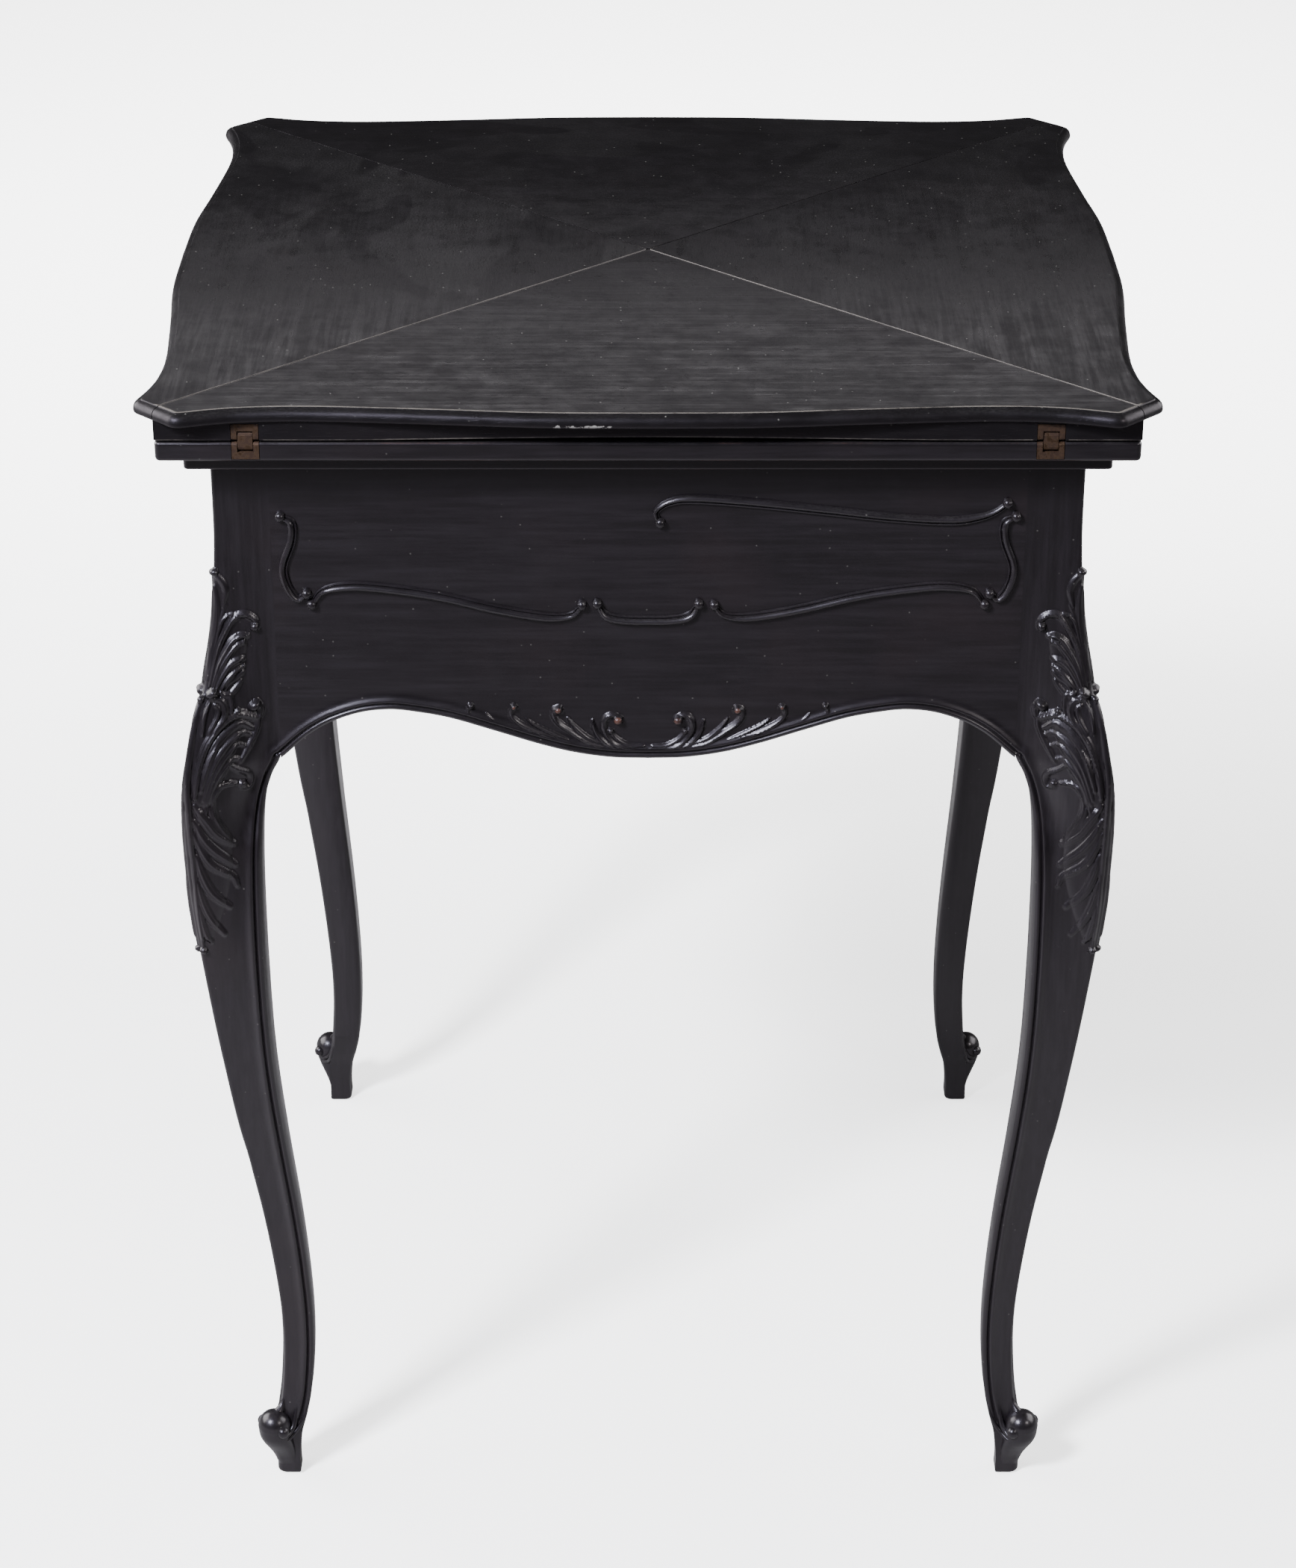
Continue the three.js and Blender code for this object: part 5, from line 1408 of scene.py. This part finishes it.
class CardTableStage(bpy.types.PropertyGroup):
    """The floor, the lamps and the camera."""

    floor: colour_prop("Floor", "Colour of the floor", (0.92, 0.92, 0.92))
    floor_reflected: colour_prop("Reflected floor", "Floor as the table mirrors it", (0.06, 0.057, 0.058))
    floor_near: colour_prop("Reflected near floor", "The same under the table", (0.17, 0.165, 0.17))
    floor_glow: share_prop("Floor glow", "Light that the floor adds towards the camera", 2.0, 10.0)
    surroundings: share_prop("Surroundings", "Strength of the light from all round", 0.035)
    lamp_power: bpy.props.FloatProperty(
        name="Lamp power", description="Power that the lamps' shares are of", default=100.0, unit="POWER",
    )
    camera_place: bpy.props.FloatVectorProperty(
        name="Camera", description="Place of the camera", default=(0.0, -2.276, 1.519),
        subtype="TRANSLATION", unit="LENGTH",
    )
    camera_tilt: bpy.props.FloatProperty(
        name="Camera tilt", description="Turn of the camera up from straight down",
        default=1.1088, unit="ROTATION",
    )
    lens: bpy.props.FloatProperty(name="Lens", description="Focal length", default=87.1, unit="CAMERA")


# Stage

def pale_floor(stage):
    """A plain pale floor, as bright to the camera as lit paper but duller in the table's reflections."""
    material, tree, shader = new_material("Pale floor")
    seen = new_node(tree, "ShaderNodeLightPath")["Is Camera Ray"]
    back = new_node(tree, "ShaderNodeSeparateXYZ", {0: object_place(tree)})[1]
    dull = mixed(tree, mapped(tree, back, -1.3, -0.5), stage.floor_reflected, stage.floor_near)
    set_inputs(shader, {
        "Base Color": mixed(tree, seen, dull, stage.floor),
        "Emission Color": (*stage.floor, 1),
        "Emission Strength": product(tree, seen, stage.floor_glow),
        "Roughness": 0.9,
    })
    return material


def add_lamp(name, place, target, size, share, colour):
    """A soft lamp that looks at its target and that the camera doesn't see."""
    data = bpy.data.lights.new(name, "AREA")
    data.energy = bpy.context.scene.card_table_stage.lamp_power * share
    data.shape = "RECTANGLE"
    data.size, data.size_y = size
    data.color = colour
    lamp = bpy.data.objects.new(name, data)
    bpy.context.collection.objects.link(lamp)
    lamp.location = place
    lamp.rotation_euler = (Vector(target) - Vector(place)).to_track_quat("-Z", "Y").to_euler()
    lamp.visible_camera = False
    lamp.visible_glossy = name != "floor_lamp"


class TABLE_OT_add_stage(bpy.types.Operator):
    """Make the floor, the lamps, the surroundings and the camera"""

    bl_idname = "card_table.add_stage"
    bl_label = "Stage"

    def execute(self, context):
        stage = context.scene.card_table_stage
        corners = [(x * FLOOR_HALF, y * FLOOR_HALF, 0) for x, y in ((-1, -1), (1, -1), (1, 1), (-1, 1))]
        floor = bpy.data.objects.new("floor", bpy.data.meshes.new("floor"))
        floor.data.from_pydata(corners, [], [(0, 1, 2, 3)])
        context.collection.objects.link(floor)
        floor.data.materials.append(pale_floor(stage))
        for lamp in LAMPS:
            add_lamp(*lamp)
        world = bpy.data.worlds.new("studio")
        context.scene.world = world
        world.use_nodes = True
        seen = new_node(world.node_tree, "ShaderNodeLightPath")["Is Camera Ray"]
        strength = mapped(world.node_tree, seen, 0, 1, stage.surroundings, BACKDROP_STRENGTH)
        set_inputs(world.node_tree.nodes["Background"], {"Color": (1, 1, 1, 1), "Strength": strength})
        camera = bpy.data.objects.new("camera", bpy.data.cameras.new("camera"))
        context.collection.objects.link(camera)
        camera.location = stage.camera_place
        camera.rotation_euler = (stage.camera_tilt, 0, 0)
        camera.data.lens = stage.lens
        camera.data.sensor_width = 36
        context.scene.camera = camera
        return {"FINISHED"}


# Pieces of the table

class TABLE_OT_add_leaves(bpy.types.Operator):
    """Make the four folding leaves"""

    bl_idname = "card_table.add_leaves"
    bl_label = "Leaves"

    def execute(self, context):
        bow = context.scene.card_table_carving.leaf_bow / MM
        for quarters, side in enumerate(SIDES):
            dust, rubbing, highlight_seam = LEAF_WEAR_AND_PAINTED_LIGHT[side]
            mesh = leaf_mesh(bow, rubbing, highlight_seam)
            points = mesh_points(mesh)
            # The leaf's dust share, partly dust and partly painted shade that darkens the back leaf
            set_values(mesh, "dust", np.full(len(points), dust))
            if side == "front":
                set_values(mesh, "chip", chip_values(points))
            add_piece(f"fine_leaf_{side}", mesh, f"{side}_leaf", "Ebonised top", [f"leaf_{side}"], quarters)
        return {"FINISHED"}


class TABLE_OT_add_bed(bpy.types.Operator):
    """Make the bed under the leaves and the sub-board"""

    bl_idname = "card_table.add_bed"
    bl_label = "Bed"

    def execute(self, context):
        add_piece("fine_bed", bed_mesh(), "swivel_top", "Ebonised frame", ["bed"])
        add_piece("fine_sub_board", sub_board_mesh(), "swivel_top", "Ebonised frame", ["sub_board"])
        return {"FINISHED"}


class TABLE_OT_add_baize(bpy.types.Operator):
    """Lay the baize on the bed and inside the leaves"""

    bl_idname = "card_table.add_baize"
    bl_label = "Baize"

    def execute(self, context):
        half = BED_HALF - BAIZE_BORDER - FIT_GAP
        floor = BED_TOP - BAIZE_RECESS
        mesh = as_mesh(prism(square(half), floor, floor + BAIZE_THICKNESS, 2))
        cloth = add_piece("bed_cloth", mesh, "swivel_top", "Baize cloth", ["bed_baize"])
        outline = np.asarray(leaf_baize_outline(FIT_GAP))
        ceiling = LEAF_LOW + BAIZE_RECESS
        mesh = as_mesh(prism(outline, ceiling - BAIZE_THICKNESS, ceiling, 2))
        for quarters, side in enumerate(SIDES):
            nodes = [f"leaf_baize_{side}"]
            cloth = add_piece(f"leaf_cloth_{side}", mesh, f"{side}_leaf", "Baize cloth", nodes, quarters)
        return {"FINISHED"}


class TABLE_OT_add_aprons(bpy.types.Operator):
    """Make the four carved aprons"""

    bl_idname = "card_table.add_aprons"
    bl_label = "Aprons"

    def execute(self, context):
        mesh = apron_mesh(context.scene.card_table_carving.centre_depth)
        for quarters, side in enumerate(SIDES):
            add_piece(f"carved_apron_{side}", mesh, "base", "Ebonised frame", [f"apron_{side}"], quarters)
        return {"FINISHED"}


class TABLE_OT_add_scrolls(bpy.types.Operator):
    """Make the applied scrolls that frame the aprons, without the front one that is lost"""

    bl_idname = "card_table.add_scrolls"
    bl_label = "Scrolls"

    def execute(self, context):
        shells = {"lower_centre": scroll_shell(SCROLLS["centre"])}
        for name in ("upper", "lower", "end"):
            shells[f"{name}_right"] = scroll_shell(SCROLLS[name])
            shells[f"{name}_left"] = mirrored(shells[f"{name}_right"])
        for name, shell in shells.items():
            if name != "upper_left":
                mesh, nodes = scroll_mesh(shell), [f"scroll_{name}"]
                add_piece(f"fine_scroll_{name}", mesh, "base", "Ebonised frame", nodes)
        mesh = scroll_mesh(merged(*shells.values()))
        for quarters, side in enumerate(SIDES[1:], 1):
            add_piece(f"fine_scrolls_{side}", mesh, "base", "Ebonised frame", quarters=quarters)
        return {"FINISHED"}


class TABLE_OT_add_legs(bpy.types.Operator):
    """Make the four carved legs"""

    bl_idname = "card_table.add_legs"
    bl_label = "Legs"

    def execute(self, context):
        mesh = leg_mesh(context.scene.card_table_carving.knee_depth)
        for quarters, corner in enumerate(CORNERS):
            name, nodes = f"carved_leg_{corner}", [f"leg_{corner}"]
            add_piece(name, mesh, "base", "Ebonised frame", nodes, quarters, grain=(2, 0, 1), crease=50.0)
        return {"FINISHED"}


class TABLE_OT_finish_fittings(bpy.types.Operator):
    """Finish the hinges, the pivot and the hidden boards"""

    bl_idname = "card_table.finish_fittings"
    bl_label = "Fittings"

    def execute(self, context):
        finish_nodes(("hinge_",), "Old brass", 0.25)
        finish_nodes(("pivot_", "stop_peg"), "Dark steel", 0.3)
        finish_nodes(("corner_block", "frame_board"), "Stained pine", 0.6)
        lower = hinge_screws(BED_TOP, 1)
        mesh = as_mesh(merged(*(turned(lower, quarters) for quarters in range(4))))
        add_piece("bed_screws", mesh, "swivel_top", "Old brass")
        mesh = as_mesh(hinge_screws(LEAF_LOW, -1))
        for quarters, side in enumerate(SIDES):
            add_piece(f"leaf_screws_{side}", mesh, f"{side}_leaf", "Old brass", quarters=quarters)
        return {"FINISHED"}


class TABLE_PT_pieces(bpy.types.Panel):
    """Lists the settings and the pieces of the card table"""

    bl_label = "Card table"
    bl_idname = "TABLE_PT_pieces"
    bl_space_type = "VIEW_3D"
    bl_region_type = "UI"
    bl_category = "Card table"

    def draw(self, context):
        for name in SETTINGS:
            box = self.layout.box()
            settings = getattr(context.scene, name)
            for setting in settings.__annotations__:
                box.prop(settings, setting)
        for operator in OPERATORS:
            self.layout.operator(operator.bl_idname)


SETTINGS = {
    "card_table_carving": CardTableCarving,
    "card_table_finish": CardTableFinish,
    "card_table_stage": CardTableStage,
}
OPERATORS = (
    TABLE_OT_add_stage, TABLE_OT_add_leaves, TABLE_OT_add_bed, TABLE_OT_add_baize, TABLE_OT_add_aprons,
    TABLE_OT_add_scrolls, TABLE_OT_add_legs, TABLE_OT_finish_fittings,
)


def register():
    for name, group in SETTINGS.items():
        bpy.utils.register_class(group)
        setattr(bpy.types.Scene, name, bpy.props.PointerProperty(type=group))
    for item in (*OPERATORS, TABLE_PT_pieces):
        bpy.utils.register_class(item)


def unregister():
    for item in (TABLE_PT_pieces, *reversed(OPERATORS)):
        bpy.utils.unregister_class(item)
    for name, group in SETTINGS.items():
        delattr(bpy.types.Scene, name)
        bpy.utils.unregister_class(group)


def main():
    register()
    bpy.ops.card_table.add_stage()
    bpy.ops.card_table.add_leaves()
    bpy.ops.card_table.add_bed()
    bpy.ops.card_table.add_baize()
    bpy.ops.card_table.add_aprons()
    bpy.ops.card_table.add_scrolls()
    bpy.ops.card_table.add_legs()
    bpy.ops.card_table.finish_fittings()


if __name__ == "__main__":
    main()
